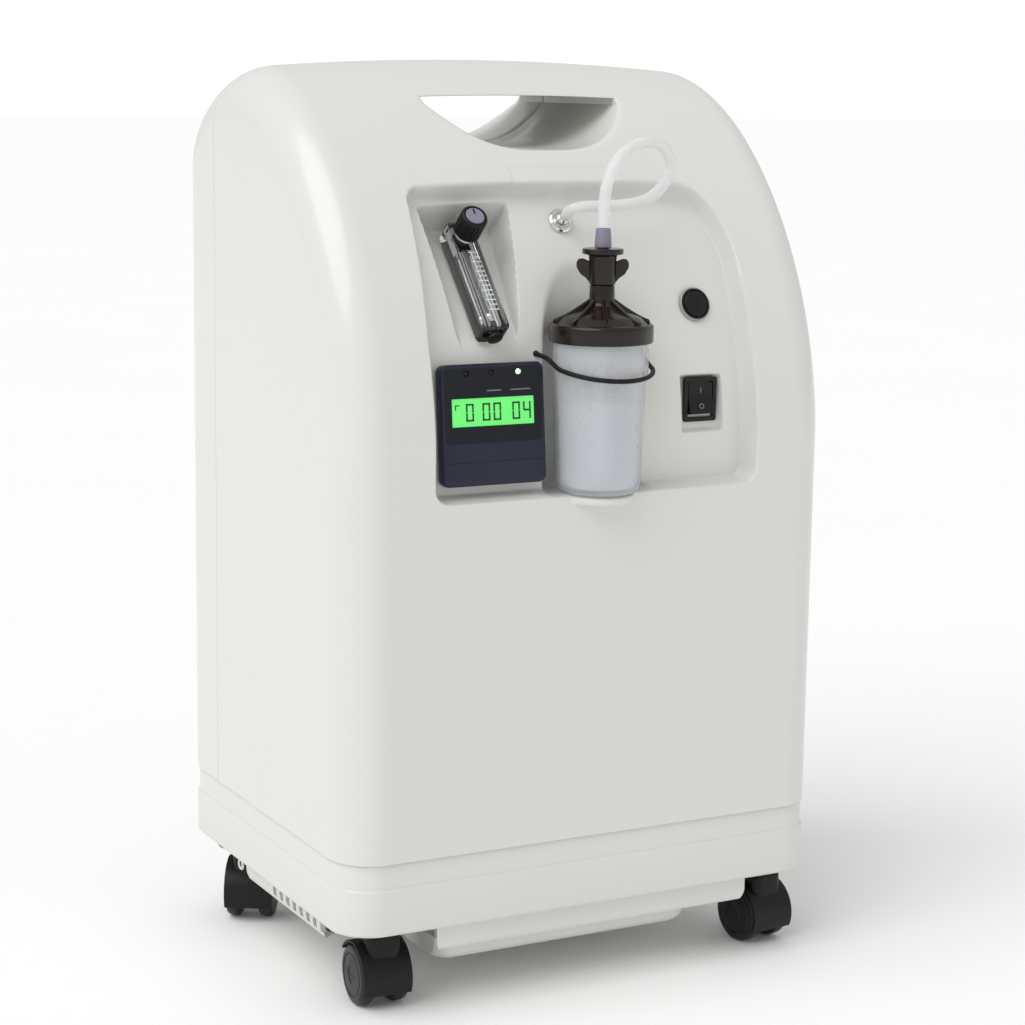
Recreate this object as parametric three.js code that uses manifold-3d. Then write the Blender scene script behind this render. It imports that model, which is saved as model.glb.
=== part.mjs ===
// Stationary oxygen concentrator: a tall cabinet on four twin-wheel casters, with a recessed
// control panel that holds the flowmeter, outlet, humidifier, display and switches.
// Units are millimetres. +Z is up, the front faces -Y, and +X is to the right of the front.
import * as THREE from "three";
import { mergeVertices } from "three/addons/utils/BufferGeometryUtils.js";
import Module from "manifold-3d";

const wasm = await Module();
wasm.setup();

// ---------------------------------------------------------------- driving dimensions
const BODY_W = 351;
const BODY_D = 281;
const BODY_H = 600;
const BODY_Y0 = 12.24;
const EDGE_R = 28;
const CROWN = 4.3;
const WALL = 3;
const GAP = 0.3;

const SKIRT_Z = 58.7;
const RIDGE_Z = 88.6;
const SEAM_Z = 105.6;
const BAND_INSET = 1.4;
const SPLIT_Y = 78;
const FRONT_CURVE = { depth: 185, height: 241, power: 1.784 };
const REAR_CURVE = { depth: 100, height: 67, power: 1.96 };

const PANEL_DEPTH = 16;
const PANEL_LOW = 330;
const PANEL_HIGH = 524;
const PANEL_LEFT = -116.5;
const PANEL_RIGHT = 117;
const HANDLE = { half: 72, low: 543, rise: 30, high: 577 };

const HUMIDIFIER = { x: 2, y: -132.5, bottle: 31, foot: 27, floor: PANEL_LOW, lidLow: 426, lidHigh: 438 };
const NICHE_R = 36.5;
const FLOW = { x: -68, width: 18, depth: 17, length: 84, lean: 42, footY: -116.2, footZ: 423 };
const DISPLAY = { x: -72.8, z: 376.6, width: 71.7, height: 75.4, thick: 7 };
const SWITCH = { x: 84.3, z: 384, width: 24.6, height: 29, pivot: -1, tilt: 10 };
const POCKET = { width: 30.5, height: 39, depth: 5 };
const BREAKER = { x: 85.6, z: 444.6, radius: 10 };
const OUTLET = { x: -1, z: 498, radius: 8.4 };
const TUBE_R = 3.7;

const FILTER = { x: 0, z: 400, width: 150, height: 110 };
const INLET = { x: 110, z: 150 };
const SCREWS = [[-140, 140], [140, 140], [-140, 480], [140, 480]];

const TRAY_Z = 40;
const DUCT_Z = 24;
const CASTER = { wheel: 20, trail: 8, top: 50.5, spacing: 22.6, tread: 11, clear: 38 };
const CASTERS = [
  { name: "front_left", x: -135.7, y: -104.5, turn: -3 },
  { name: "front_right", x: 153.4, y: -107, turn: 7 },
  { name: "rear_left", x: -148.4, y: 86.8, turn: -31 },
  { name: "rear_right", x: 153.7, y: 110, turn: 4 },
];

// ---------------------------------------------------------------- materials
const paint = (color, roughness, metalness = 0) =>
  new THREE.MeshStandardMaterial({ color, roughness, metalness });
const glassy = (color, roughness, opacity) =>
  new THREE.MeshStandardMaterial({ color, roughness, transparent: true, opacity });
const MATERIAL = {
  shell: paint(0xe6e4df, 0.3),
  base: paint(0xdfddd8, 0.35),
  black: paint(0x17171a, 0.4),
  rubber: paint(0x1d1d20, 0.6),
  navy: paint(0x262c3c, 0.3),
  lcd: paint(0x6fdc74, 0.3),
  green: paint(0x8dff9a, 0.3),
  smoke: paint(0x3a3c44, 0.35),
  clear: glassy(0xdfe6ea, 0.1, 0.4),
  lilac: paint(0x9a97ab, 0.4),
  brown: paint(0x33221f, 0.25),
  frosted: glassy(0xdde3ea, 0.35, 0.6),
  silicone: glassy(0xe9ecee, 0.3, 0.7),
  steel: paint(0xb9bcc0, 0.3, 1),
  alloy: paint(0xa6a9ad, 0.45, 1),
  foam: paint(0x3d3f42, 0.95),
  board: paint(0x1f5b37, 0.5),
  grey: paint(0x8e9194, 0.5),
};

// ---------------------------------------------------------------- geometry helpers
const V = (x, y, z) => new THREE.Vector3(x, y, z);
const radians = THREE.MathUtils.degToRad;

// A closed indexed geometry to a manifold solid, and back.
function solid(geometry) {
  const bare = geometry.clone();
  for (const name of Object.keys(bare.attributes)) {
    if (name !== "position") bare.deleteAttribute(name);
  }
  const merged = mergeVertices(bare, 1e-4);
  return new wasm.Manifold(new wasm.Mesh({
    numProp: 3,
    vertProperties: new Float32Array(merged.attributes.position.array),
    triVerts: new Uint32Array(merged.index.array),
  }));
}

function shape3(manifold) {
  const mesh = manifold.getMesh();
  const geometry = new THREE.BufferGeometry();
  geometry.setAttribute("position", new THREE.BufferAttribute(new Float32Array(mesh.vertProperties), 3));
  geometry.setIndex(new THREE.BufferAttribute(new Uint32Array(mesh.triVerts), 1));
  geometry.computeVertexNormals();
  return geometry;
}

// Skins a list of equal rings and closes both ends with a fan, with its faces pointing out.
function loft(rings) {
  const count = rings[0].length;
  const points = rings.flat();
  const index = [];
  for (let i = 0; i + 1 < rings.length; i += 1) {
    for (let j = 0; j < count; j += 1) {
      const a = i * count + j;
      const b = i * count + ((j + 1) % count);
      index.push(a, b, b + count, a, b + count, a + count);
    }
  }
  const last = (rings.length - 1) * count;
  for (const [ring, start, flip] of [[rings[0], 0, true], [rings.at(-1), last, false]]) {
    const centre = ring.reduce((sum, p) => sum.add(p), V(0, 0, 0)).divideScalar(count);
    points.push(centre);
    const hub = points.length - 1;
    for (let j = 0; j < count; j += 1) {
      const a = start + j;
      const b = start + ((j + 1) % count);
      index.push(...(flip ? [hub, b, a] : [hub, a, b]));
    }
  }
  let volume = 0;
  for (let k = 0; k < index.length; k += 3) {
    volume += points[index[k]].dot(points[index[k + 1]].clone().cross(points[index[k + 2]]));
  }
  if (volume < 0) {
    for (let k = 0; k < index.length; k += 3) [index[k], index[k + 1]] = [index[k + 1], index[k]];
  }
  const geometry = new THREE.BufferGeometry();
  const flat = points.flatMap((p) => [p.x, p.y, p.z]);
  geometry.setAttribute("position", new THREE.Float32BufferAttribute(flat, 3));
  geometry.setIndex(index);
  geometry.computeVertexNormals();
  return geometry;
}

function outline(points) {
  const shape = new THREE.Shape();
  points.forEach(([a, b], i) => (i ? shape.lineTo(a, b) : shape.moveTo(a, b)));
  shape.closePath();
  return shape;
}

function roundedRect(width, height, radius, x = 0, y = 0) {
  const shape = new THREE.Shape();
  const [l, r, b, t] = [x - width / 2, x + width / 2, y - height / 2, y + height / 2];
  shape.moveTo(l + radius, b);
  shape.lineTo(r - radius, b);
  shape.absarc(r - radius, b + radius, radius, -Math.PI / 2, 0);
  shape.lineTo(r, t - radius);
  shape.absarc(r - radius, t - radius, radius, 0, Math.PI / 2);
  shape.lineTo(l + radius, t);
  shape.absarc(l + radius, t - radius, radius, Math.PI / 2, Math.PI);
  shape.lineTo(l, b + radius);
  shape.absarc(l + radius, b + radius, radius, Math.PI, Math.PI * 1.5);
  return shape;
}

const extrude = (shape, depth, steps) =>
  new THREE.ExtrudeGeometry(shape, { depth, bevelEnabled: false, curveSegments: steps });
// A shape drawn in X and Z, standing between two values of Y.
const prismY = (shape, y0, y1, steps = 4) =>
  extrude(shape, y1 - y0, steps).rotateX(Math.PI / 2).translate(0, y1, 0);
// A shape drawn in X and Y, standing between two heights.
const prismZ = (shape, z0, z1, steps = 4) => extrude(shape, z1 - z0, steps).translate(0, 0, z0);
// A shape drawn in Y and Z, standing between two values of X.
const prismX = (shape, x0, x1, steps = 4) =>
  extrude(shape, x1 - x0, steps)
    .applyMatrix4(new THREE.Matrix4().makeBasis(V(0, 1, 0), V(0, 0, 1), V(1, 0, 0)))
    .translate(x0, 0, 0);
const block = (x0, x1, y0, y1, z0, z1) =>
  new THREE.BoxGeometry(x1 - x0, y1 - y0, z1 - z0).translate((x0 + x1) / 2, (y0 + y1) / 2, (z0 + z1) / 2);
const cylinderZ = (radius, z0, z1, sides = 24, low = radius) =>
  new THREE.CylinderGeometry(radius, low, z1 - z0, sides)
    .rotateX(Math.PI / 2)
    .translate(0, 0, (z0 + z1) / 2);
const cylinderX = (radius, x0, x1, sides = 24) =>
  new THREE.CylinderGeometry(radius, radius, x1 - x0, sides)
    .rotateZ(Math.PI / 2)
    .translate((x0 + x1) / 2, 0, 0);
// A profile of [radius, height] turned about the Z axis.
const turned = (profile, sides = 24) =>
  new THREE.LatheGeometry(profile.map(([r, z]) => new THREE.Vector2(r, z)), sides).rotateX(Math.PI / 2);
const union = (...parts) => parts.reduce((sum, part) => sum.add(part));

// A stack of rounded rectangles, each { z, inset }, drawn from one width and depth.
function stack(width, depth, radius, levels, x = 0, y = 0, steps = 4) {
  const rings = levels.map(({ z, inset = 0 }) => {
    const ring = [];
    const r = Math.max(radius - inset, 0.5);
    for (const [sx, sy, from] of [[1, -1, -90], [1, 1, 0], [-1, 1, 90], [-1, -1, 180]]) {
      for (let i = 0; i <= steps; i += 1) {
        const a = radians(from + (90 * i) / steps);
        ring.push(V(
          x + sx * (width / 2 - inset - r) + r * Math.cos(a),
          y + sy * (depth / 2 - inset - r) + r * Math.sin(a),
          z,
        ));
      }
    }
    return ring;
  });
  return loft(rings);
}

// ---------------------------------------------------------------- cabinet surface
// Side profile in Y and Z, set in by a distance along its normals.
function bodyProfile(inset, bottom) {
  const points = [];
  const arc = (curve, sign, t) => {
    const c = Math.cos(t) ** (2 / curve.power);
    const s = Math.sin(t) ** (2 / curve.power);
    const y = sign * (BODY_D / 2 - curve.depth + curve.depth * c);
    points.push([y, BODY_H - curve.height + curve.height * s]);
  };
  const frontSteps = 12;
  const rearSteps = 7;
  for (let i = 0; i <= frontSteps; i += 1) arc(FRONT_CURVE, -1, (Math.PI / 2) * (i / frontSteps));
  for (let i = rearSteps - 1; i >= 0; i -= 1) arc(REAR_CURVE, 1, (Math.PI / 2) * (i / rearSteps));
  const walls = points.map(([y, z], i) => {
    const before = points[Math.max(i - 1, 0)];
    const after = points[Math.min(i + 1, points.length - 1)];
    let tangent = new THREE.Vector2(after[0] - before[0], after[1] - before[1]).normalize();
    if (i === 0) tangent = new THREE.Vector2(0, 1);
    if (i === points.length - 1) tangent = new THREE.Vector2(0, -1);
    return [y + tangent.y * inset, z - tangent.x * inset];
  });
  return [[-BODY_D / 2 + inset, bottom], ...walls, [BODY_D / 2 - inset, bottom]];
}

// The cabinet as one solid with rounded edges along its sides, set in by a distance.
function loaf(inset, bottom) {
  const radius = EDGE_R - inset;
  const edge = [];
  for (let a = 0; a <= 90; a += 18) {
    const x = BODY_W / 2 - EDGE_R + radius * Math.cos(radians(a));
    edge.push({ x, d: inset + radius * (1 - Math.sin(radians(a))) });
  }
  const middle = [98, 49, 0].map((x) => ({ x, d: inset }));
  const right = [...edge, ...middle];
  const stations = [...right.map(({ x, d }) => ({ x: -x, d })), ...right.slice(0, -1).reverse()];
  return loft(stations.map(({ x, d }) => bodyProfile(d, bottom).map(([y, z]) => {
    const ramp = THREE.MathUtils.smoothstep(z, 300, 600);
    return V(x, y, z - CROWN * ramp * (x / 130) ** 2);
  })));
}

// Depth position of the front surface at a height.
function frontY(z) {
  const { depth, height, power } = FRONT_CURVE;
  const s = THREE.MathUtils.clamp((z - (BODY_H - height)) / height, 0, 1);
  return -BODY_D / 2 + depth - depth * (1 - s ** power) ** (1 / power);
}

// The panel's floor follows the front surface, a fixed depth behind it.
const panelY = (z) => frontY(z) + PANEL_DEPTH;
const panelLean = (z) => Math.atan2(frontY(z + 5) - frontY(z - 5), 10);

function panelShape(grow) {
  const shape = new THREE.Shape();
  const [l, r, b, t] = [PANEL_LEFT - grow, PANEL_RIGHT + grow, PANEL_LOW - grow, PANEL_HIGH + grow];
  const low = 10 + grow;
  shape.moveTo(l + low, b);
  shape.lineTo(r - low, b);
  shape.absarc(r - low, b + low, low, -Math.PI / 2, 0);
  shape.lineTo(r - 0.5, t - 46);
  shape.bezierCurveTo(r - 3, t - 18, r - 12, t, r - 32, t);
  shape.lineTo(l + 15, t);
  shape.quadraticCurveTo(l + 6, t, l + 5, t - 10);
  shape.lineTo(l, t - 95);
  shape.lineTo(l, b + low);
  shape.absarc(l + low, b + low, low, Math.PI, Math.PI * 1.5);
  return shape;
}

function handleShape(grow) {
  const points = [];
  const { half, low, rise, high } = HANDLE;
  const steps = 12;
  for (let i = 0; i <= steps; i += 1) {
    const x = -half + (2 * half * i) / steps;
    points.push([x * (1 + grow / half), low - grow + rise * Math.abs(x / half) ** 3]);
  }
  return outline([...points, [half + grow, high + grow], [-half - grow, high + grow]]);
}

// The flowmeter's notch: a floor that leans back, and a ceiling square to it.
function flowNotch(grow) {
  const lean = radians(FLOW.lean);
  const along = [Math.sin(lean), Math.cos(lean)];
  const out = [-Math.cos(lean), Math.sin(lean)];
  const foot = [FLOW.footY - out[0] * grow, FLOW.footZ - out[1] * grow];
  const reach = 92 + grow;
  const corner = [foot[0] + along[0] * reach, foot[1] + along[1] * reach];
  const mouth = [corner[0] + out[0] * 70, corner[1] + out[1] * 70];
  const low = [foot[0] - along[0] * 20, foot[1] - along[1] * 20];
  const wedge = prismX(outline([low, [low[0] - 60, low[1]], mouth, corner]), FLOW.x - 50, FLOW.x + 50);
  const face = prismY(outline([
    [FLOW.x - 17 - grow, 395],
    [FLOW.x + 19 + grow, 395],
    [FLOW.x + 34 + grow, 530],
    [FLOW.x - 33 - grow, 530],
  ]), -190, 0);
  return solid(wedge).intersect(solid(face));
}

// Everything that is pressed into the front of the cabinet, larger by a wall for the inside.
function frontRecess(grow) {
  const floor = solid(loaf(0, 200).translate(0, PANEL_DEPTH + grow, 0));
  const panel = solid(prismY(panelShape(grow), -200, -20, 6)).subtract(floor);
  const niche = solid(cylinderZ(NICHE_R + grow, PANEL_LOW - grow, PANEL_HIGH - 30, 32)
    .translate(HUMIDIFIER.x, HUMIDIFIER.y, 0));
  const pocket = solid(prismY(
    roundedRect(POCKET.width + 2 * grow, POCKET.height + 2 * grow, 1.5, SWITCH.x, SWITCH.z),
    -160,
    panelY(SWITCH.z) + POCKET.depth + grow,
    2,
  ));
  return union(panel, niche, flowNotch(grow), pocket);
}

const tunnel = (grow) => solid(prismY(handleShape(grow), -200, 200));

// ---------------------------------------------------------------- assembly helpers
const concentrator = new THREE.Group();
const body = new THREE.Group();
body.position.y = BODY_Y0;
concentrator.add(body);

function add(name, geometry, material, parent = body) {
  const mesh = new THREE.Mesh(geometry, material);
  mesh.name = name;
  parent.add(mesh);
  return mesh;
}

const addSolid = (name, manifold, material, parent) => add(name, shape3(manifold), material, parent);

// A frame on the panel floor: its Z points out of the panel and its Y points up the panel.
function panelFrame(x, z, lift = 0) {
  const frame = new THREE.Group();
  const lean = panelLean(z);
  frame.position.set(x, panelY(z) - lift * Math.cos(lean), z + lift * Math.sin(lean));
  frame.rotation.x = Math.PI / 2 - lean;
  body.add(frame);
  return frame;
}

// A hole through the wall of the panel, square to its floor.
function panelHole(x, z, radius, sides = 20) {
  const hole = cylinderZ(radius, -12, 12, sides);
  hole.rotateX(Math.PI / 2 - panelLean(z));
  return solid(hole.translate(x, panelY(z), z));
}

// ---------------------------------------------------------------- cabinet shells
function buildShells() {
  const foot = SEAM_Z + GAP;
  const outer = solid(loaf(0, foot)).subtract(frontRecess(0)).subtract(tunnel(0));
  const inner = solid(loaf(WALL, foot - 5)).subtract(frontRecess(WALL)).subtract(tunnel(WALL));
  const seat = solid(turned([
    [0, PANEL_LOW - 12], [12, PANEL_LOW - 12], [19, PANEL_LOW - 8], [23, PANEL_LOW - 3], [23, PANEL_LOW],
    [0, PANEL_LOW],
  ], 28).translate(HUMIDIFIER.x, HUMIDIFIER.y, 0))
    .subtract(solid(block(-60, 60, -BODY_D / 2 + 1, 0, 200, 400)));
  const cabinet = outer.subtract(inner);
  const frontSide = solid(block(-200, 200, -200, SPLIT_Y - GAP / 2, 0, 700));
  const rearSide = solid(block(-200, 200, SPLIT_Y + GAP / 2, 200, 0, 700));

  let front = cabinet.intersect(frontSide).add(seat);
  front = front.subtract(panelHole(BREAKER.x, BREAKER.z, BREAKER.radius + 0.4));
  front = front.subtract(panelHole(OUTLET.x, OUTLET.z, 5));
  const switchHole = block(-10.7, 10.7, -125, -100, -13.2, 13.2).translate(SWITCH.x, 0, SWITCH.z);
  front = front.subtract(solid(switchHole));
  addSolid("front_shell", front, MATERIAL.shell);

  let rear = cabinet.intersect(rearSide);
  const [halfW, halfH] = [FILTER.width / 2, FILTER.height / 2];
  const filterHole = block(-halfW, halfW, 100, 160, -halfH, halfH);
  rear = rear.subtract(solid(filterHole.translate(FILTER.x, 0, FILTER.z)));
  const inletHole = block(-14.2, 14.2, 100, 160, -10.2, 10.2);
  rear = rear.subtract(solid(inletHole.translate(INLET.x, 0, INLET.z)));
  for (const [sx, sz] of SCREWS) {
    rear = rear.subtract(solid(new THREE.CylinderGeometry(2.3, 2.3, 40, 12).translate(sx, BODY_D / 2, sz)));
  }
  addSolid("rear_shell", rear, MATERIAL.shell);
}

function buildRearDetails() {
  SCREWS.forEach(([x, z], i) => {
    const head = new THREE.CylinderGeometry(4, 4, 1.2, 16).translate(x, BODY_D / 2 + 0.6 + GAP, z);
    const shank = new THREE.CylinderGeometry(2, 2, 14, 12).translate(x, BODY_D / 2 - 6, z);
    addSolid(`case_screw_${i + 1}`, solid(head).add(solid(shank)), MATERIAL.steel);
  });

  const { x, z, width, height } = FILTER;
  const wallY = BODY_D / 2;
  const frame = solid(prismY(roundedRect(width + 8, height + 8, 5, x, z), wallY + GAP, wallY + 2, 3));
  const [halfW, halfH] = [width / 2, height / 2];
  const box = (edge, y0, y1) =>
    solid(block(x - halfW + edge, x + halfW - edge, y0, y1, z - halfH + edge, z + halfH - edge));
  let cover = frame.add(box(0.5, wallY - 9, wallY + 1)).subtract(box(3, wallY - 10, wallY - 1));
  const slots = 9;
  for (let i = 0; i < slots; i += 1) {
    const slotZ = z + (i - (slots - 1) / 2) * 10.5;
    cover = cover.subtract(solid(block(x - 64, x + 64, wallY - 3, wallY + 4, slotZ - 2.6, slotZ + 2.6)));
  }
  addSolid("filter_cover", cover, MATERIAL.base);
  const foam = block(-71.5, 71.5, wallY - 9, wallY - 3 - GAP, -51.5, 51.5).translate(x, 0, z);
  add("foam_filter", foam, MATERIAL.foam);

  let inlet = solid(prismY(roundedRect(50, 26, 3, INLET.x, INLET.z), wallY + GAP, wallY + 2, 3))
    .add(solid(prismY(roundedRect(27.6, 19.8, 3, INLET.x, INLET.z), wallY - 22, wallY + 1, 3)));
  const well = roundedRect(24, 16.2, 2, INLET.x, INLET.z);
  inlet = inlet.subtract(solid(prismY(well, wallY - 16, wallY + 3, 3)));
  for (const [px, pz] of [[-7, -2], [7, -2], [0, 2]]) {
    const pin = block(px - 1, px + 1, wallY - 17, wallY - 5, pz - 2, pz + 2);
    inlet = inlet.add(solid(pin.translate(INLET.x, 0, INLET.z)));
  }
  addSolid("power_inlet", inlet, MATERIAL.black);
}

// ---------------------------------------------------------------- base and underbody
function buildBase() {
  const lip = 0.8;
  const outer = solid(stack(BODY_W, BODY_D, EDGE_R, [
    { z: SKIRT_Z, inset: lip * 2 },
    { z: SKIRT_Z + 2.5, inset: 0 },
    { z: RIDGE_Z, inset: 0 },
    { z: RIDGE_Z + 1.2, inset: BAND_INSET },
    { z: SEAM_Z, inset: BAND_INSET },
  ]));
  const inner = solid(stack(BODY_W, BODY_D, EDGE_R, [
    { z: SKIRT_Z + WALL, inset: 4.5 },
    { z: SEAM_Z + 1, inset: 4.5 },
  ]));
  let base = outer.subtract(inner);
  for (const { x, y } of CASTERS) {
    base = base.add(solid(cylinderZ(12, CASTER.top + GAP, SKIRT_Z + 8, 16).translate(x, y, 0)));
    base = base.subtract(solid(cylinderZ(5.8, 40, 80, 12).translate(x, y, 0)));
  }
  addSolid("base_skirt", base, MATERIAL.base);

  const top = SKIRT_Z - GAP;
  const pan = (grow) => {
    const tray = solid(stack(330 - 2 * grow, 262 - 2 * grow, 22 - grow, [
      { z: TRAY_Z + grow, inset: 2.5 },
      { z: TRAY_Z + grow + 4, inset: 0 },
      { z: top + (grow ? 2 : 0), inset: 0 },
    ]));
    const duct = solid(stack(206 - 2 * grow, 240 - 2 * grow, 22 - grow, [
      { z: DUCT_Z + grow, inset: 9 },
      { z: DUCT_Z + grow + 4, inset: 6 },
      { z: top + (grow ? 2 : 0), inset: 0 },
    ], -3, 4));
    let shell = tray.add(duct);
    for (const { x, y } of CASTERS) {
      shell = shell.subtract(solid(cylinderZ(CASTER.clear + grow, 0, 80, 20).translate(x, y, 0)));
    }
    return shell;
  };
  let tray = pan(0).subtract(pan(2.5));
  for (let i = 0; i < 8; i += 1) {
    const y = -77 + i * 11.3;
    tray = tray.subtract(solid(block(-172, -155, y - 2.4, y + 2.4, TRAY_Z + 4.5, top - 3)));
  }
  addSolid("underbody_pan", tray, MATERIAL.base);
}

// ---------------------------------------------------------------- casters
function buildCaster({ name, x, y, turn }) {
  const { wheel, trail, top, spacing, tread } = CASTER;
  const unit = new THREE.Group();
  unit.position.set(x, y, 0);
  unit.rotation.z = radians(turn);
  body.add(unit);
  const width = spacing + tread;
  const hub = (geometry) => geometry.translate(0, trail, wheel);

  const canopy = new THREE.Shape();
  const [from, to] = [radians(35), radians(205)];
  canopy.absarc(0, 0, wheel + 2.6, from, to, false);
  canopy.absarc(0, 0, wheel + 0.8, to, from, true);
  let hood = solid(hub(prismX(canopy, -width / 2, width / 2, 7)));
  const web = new THREE.Shape();
  web.moveTo(0, 0);
  web.absarc(0, 0, wheel + 2, from, to, false);
  hood = hood.add(solid(hub(prismX(web, -4.8, 4.8, 7))));
  hood = hood.add(solid(hub(cylinderX(6, -4.8, 4.8, 12))));
  hood = hood.add(solid(stack(23, 22, 6, [{ z: 28 }, { z: top - 2 }, { z: top, inset: 2 }], 0, 2, 3)));
  hood = hood.add(solid(cylinderZ(5.5, top - 1, 74, 12)));
  const room = solid(hub(cylinderX(wheel + 0.8, -width, -4.8, 20)))
    .add(solid(hub(cylinderX(wheel + 0.8, 4.8, width, 20))));
  hood = hood.subtract(room);
  hood = hood.subtract(solid(hub(cylinderX(3.3, -8, 8, 12))));
  addSolid(`caster_${name}_hood`, hood, MATERIAL.black, unit);
  add(`caster_${name}_axle`, hub(cylinderX(3, -14, 14, 12)), MATERIAL.steel, unit);

  for (const [side, sign] of [["left", -1], ["right", 1]]) {
    const r = wheel;
    const profile = [
      [3.3, -tread / 2], [r - 3, -tread / 2], [r - 0.6, -3.6], [r, -2], [r, 2],
      [r - 1.4, 4.6], [r - 4, 5.5], [0, 5.5], [0, 3.2], [3.3, 3.2],
    ];
    const disc = turned(profile.concat([profile[0]]), 16);
    disc.rotateY(sign * Math.PI / 2);
    const mesh = add(`caster_${name}_wheel_${side}`, solidCopy(disc), MATERIAL.rubber, unit);
    mesh.position.set((sign * spacing) / 2, trail, wheel);
  }
}

// Passes a turned piece through the solid modeller, which closes its seam.
const solidCopy = (geometry) => shape3(solid(geometry));

// ---------------------------------------------------------------- control panel
function buildDisplay() {
  const { x, z, width, height, thick } = DISPLAY;
  const frame = panelFrame(x, z, 1.6);
  let housing = solid(prismZ(roundedRect(width, height, 5), -0.2, thick, 4));
  housing = housing.subtract(solid(block(-28.9, 28.7, -1.1, 16.9, thick - 2, thick + 2)));
  const lights = [-18.3, -1, 18];
  for (const lx of lights) {
    housing = housing.subtract(solid(cylinderZ(1.9, thick - 2, thick + 1, 14).translate(lx, 32, 0)));
  }
  addSolid("display_housing", housing, MATERIAL.navy, frame);
  add("lcd_window", block(-28.6, 28.4, -0.8, 16.6, thick - 2 + GAP, thick - 0.5), MATERIAL.lcd, frame);
  lights.forEach((lx, i) => {
    const lens = turned([[0, 0], [1.6, 0], [1.6, 1.4], [1.1, 2], [0, 2.2]], 14);
    lens.translate(lx, 32, thick - 2 + GAP);
    add(`indicator_${i + 1}`, solidCopy(lens), i === 2 ? MATERIAL.green : MATERIAL.smoke, frame);
  });
}

function buildFlowmeter() {
  const { x, width, depth, length, footY, footZ } = FLOW;
  const lean = radians(FLOW.lean);
  const unit = new THREE.Group();
  const lift = depth / 2 + 0.4;
  const [along, out] = [Math.sin(lean), Math.cos(lean)];
  unit.position.set(x, footY - out * lift + along * 3, footZ + along * lift + out * 3);
  unit.rotation.x = -lean;
  body.add(unit);
  let tube = solid(stack(width, depth, 2, [
    { z: 0, inset: 2 }, { z: 3, inset: 0 }, { z: length - 3, inset: 0 }, { z: length, inset: 2 },
  ], 0, 0, 2));
  tube = tube.subtract(solid(cylinderZ(4, -1, length - 22, 16)));
  const spindle = new THREE.CylinderGeometry(3.6, 3.6, 12, 16).translate(0, -depth / 2, length - 12);
  tube = tube.subtract(solid(spindle));
  addSolid("flowmeter_body", tube, MATERIAL.clear, unit);
  const plug = turned([[0, -3], [5, -3], [5, -0.3], [3.7, -0.3], [3.7, 8], [0, 8]], 16);
  add("flowmeter_plug", solidCopy(plug), MATERIAL.black, unit);
  const float = turned([[0, 0], [1.4, 0], [3.4, 4], [3.4, 5.5], [0, 5.5]], 14).translate(0, 0, 8 + GAP);
  add("flow_float", solidCopy(float), MATERIAL.steel, unit);

  const knob = new THREE.Group();
  knob.position.set(0, -depth / 2 - GAP, length - 12);
  knob.rotation.x = Math.PI / 2;
  unit.add(knob);
  const grips = 12;
  let grip = solid(turned([
    [0, 3], [8.4, 3], [8.8, 4], [8.8, 18], [8, 19.5], [6.6, 19.5], [6.6, 18.6], [0, 18.6],
  ], 24));
  for (let i = 0; i < grips; i += 1) {
    const a = (i / grips) * Math.PI * 2;
    grip = grip.subtract(solid(cylinderZ(0.9, 4, 16, 4).translate(9 * Math.cos(a), 9 * Math.sin(a), 0)));
  }
  grip = grip.add(solid(cylinderZ(3.3, -5, 4, 14)));
  addSolid("flow_knob", grip, MATERIAL.black, knob);
  add("flow_knob_cap", cylinderZ(6.2, 18.6 + GAP, 19.6, 24), MATERIAL.lilac, knob);
}

function buildOutlet() {
  const frame = panelFrame(OUTLET.x, OUTLET.z, GAP);
  add("outlet_nozzle", solidCopy(turned([
    [0, -7], [4.6, -7], [4.6, 0], [OUTLET.radius, 0], [OUTLET.radius, 1.6],
    [OUTLET.radius - 1.4, 2.6], [5.2, 2.6], [5.2, 6], [3.2, 6], [2.9, 9.5], [0, 9.5],
  ], 20)), MATERIAL.steel, frame);
}

function buildBreaker() {
  const { x, z, radius } = BREAKER;
  const frame = panelFrame(x, z, GAP);
  const housing = turned([
    [9, -14], [radius, -14], [radius, 0], [radius + 1.4, 0], [radius + 1.4, 1.2], [radius + 0.4, 2.2],
    [9, 2.2], [9, -14],
  ], 20);
  add("breaker_housing", solidCopy(housing), MATERIAL.grey, frame);
  const button = turned([[0, -10], [8.6, -10], [8.6, 2.4], [7.6, 3.2], [0, 3.6]], 20);
  add("breaker_button", solidCopy(button), MATERIAL.black, frame);
}

// The rocker is drawn level and turned about its pivot, so its upper end is pressed in.
function buildSwitch() {
  const { x, z, width, height, pivot, tilt } = SWITCH;
  const frame = new THREE.Group();
  frame.position.set(x, panelY(z) + POCKET.depth - GAP, z);
  frame.rotation.x = Math.PI / 2;
  body.add(frame);
  let bezel = solid(prismZ(roundedRect(width, height, 1.5), 0, 3.2, 2));
  bezel = bezel.add(solid(block(-10.4, 10.4, -12.9, 12.9, -13, 1)));
  bezel = bezel.subtract(solid(block(-9.4, 9.4, -11.5, 11.5, -10, 5)));
  addSolid("switch_bezel", bezel, MATERIAL.black, frame);
  const key = prismX(outline([
    [-5.5, -4], [5.5, -4], [10.2, 1], [10.2, 5.8], [0, 4.4], [-10.2, 5.8], [-10.2, 1],
  ]), -9.1, 9.1);
  const mesh = add("switch_rocker", key.rotateX(-radians(tilt)), MATERIAL.black, frame);
  mesh.position.z = pivot;
}

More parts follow.
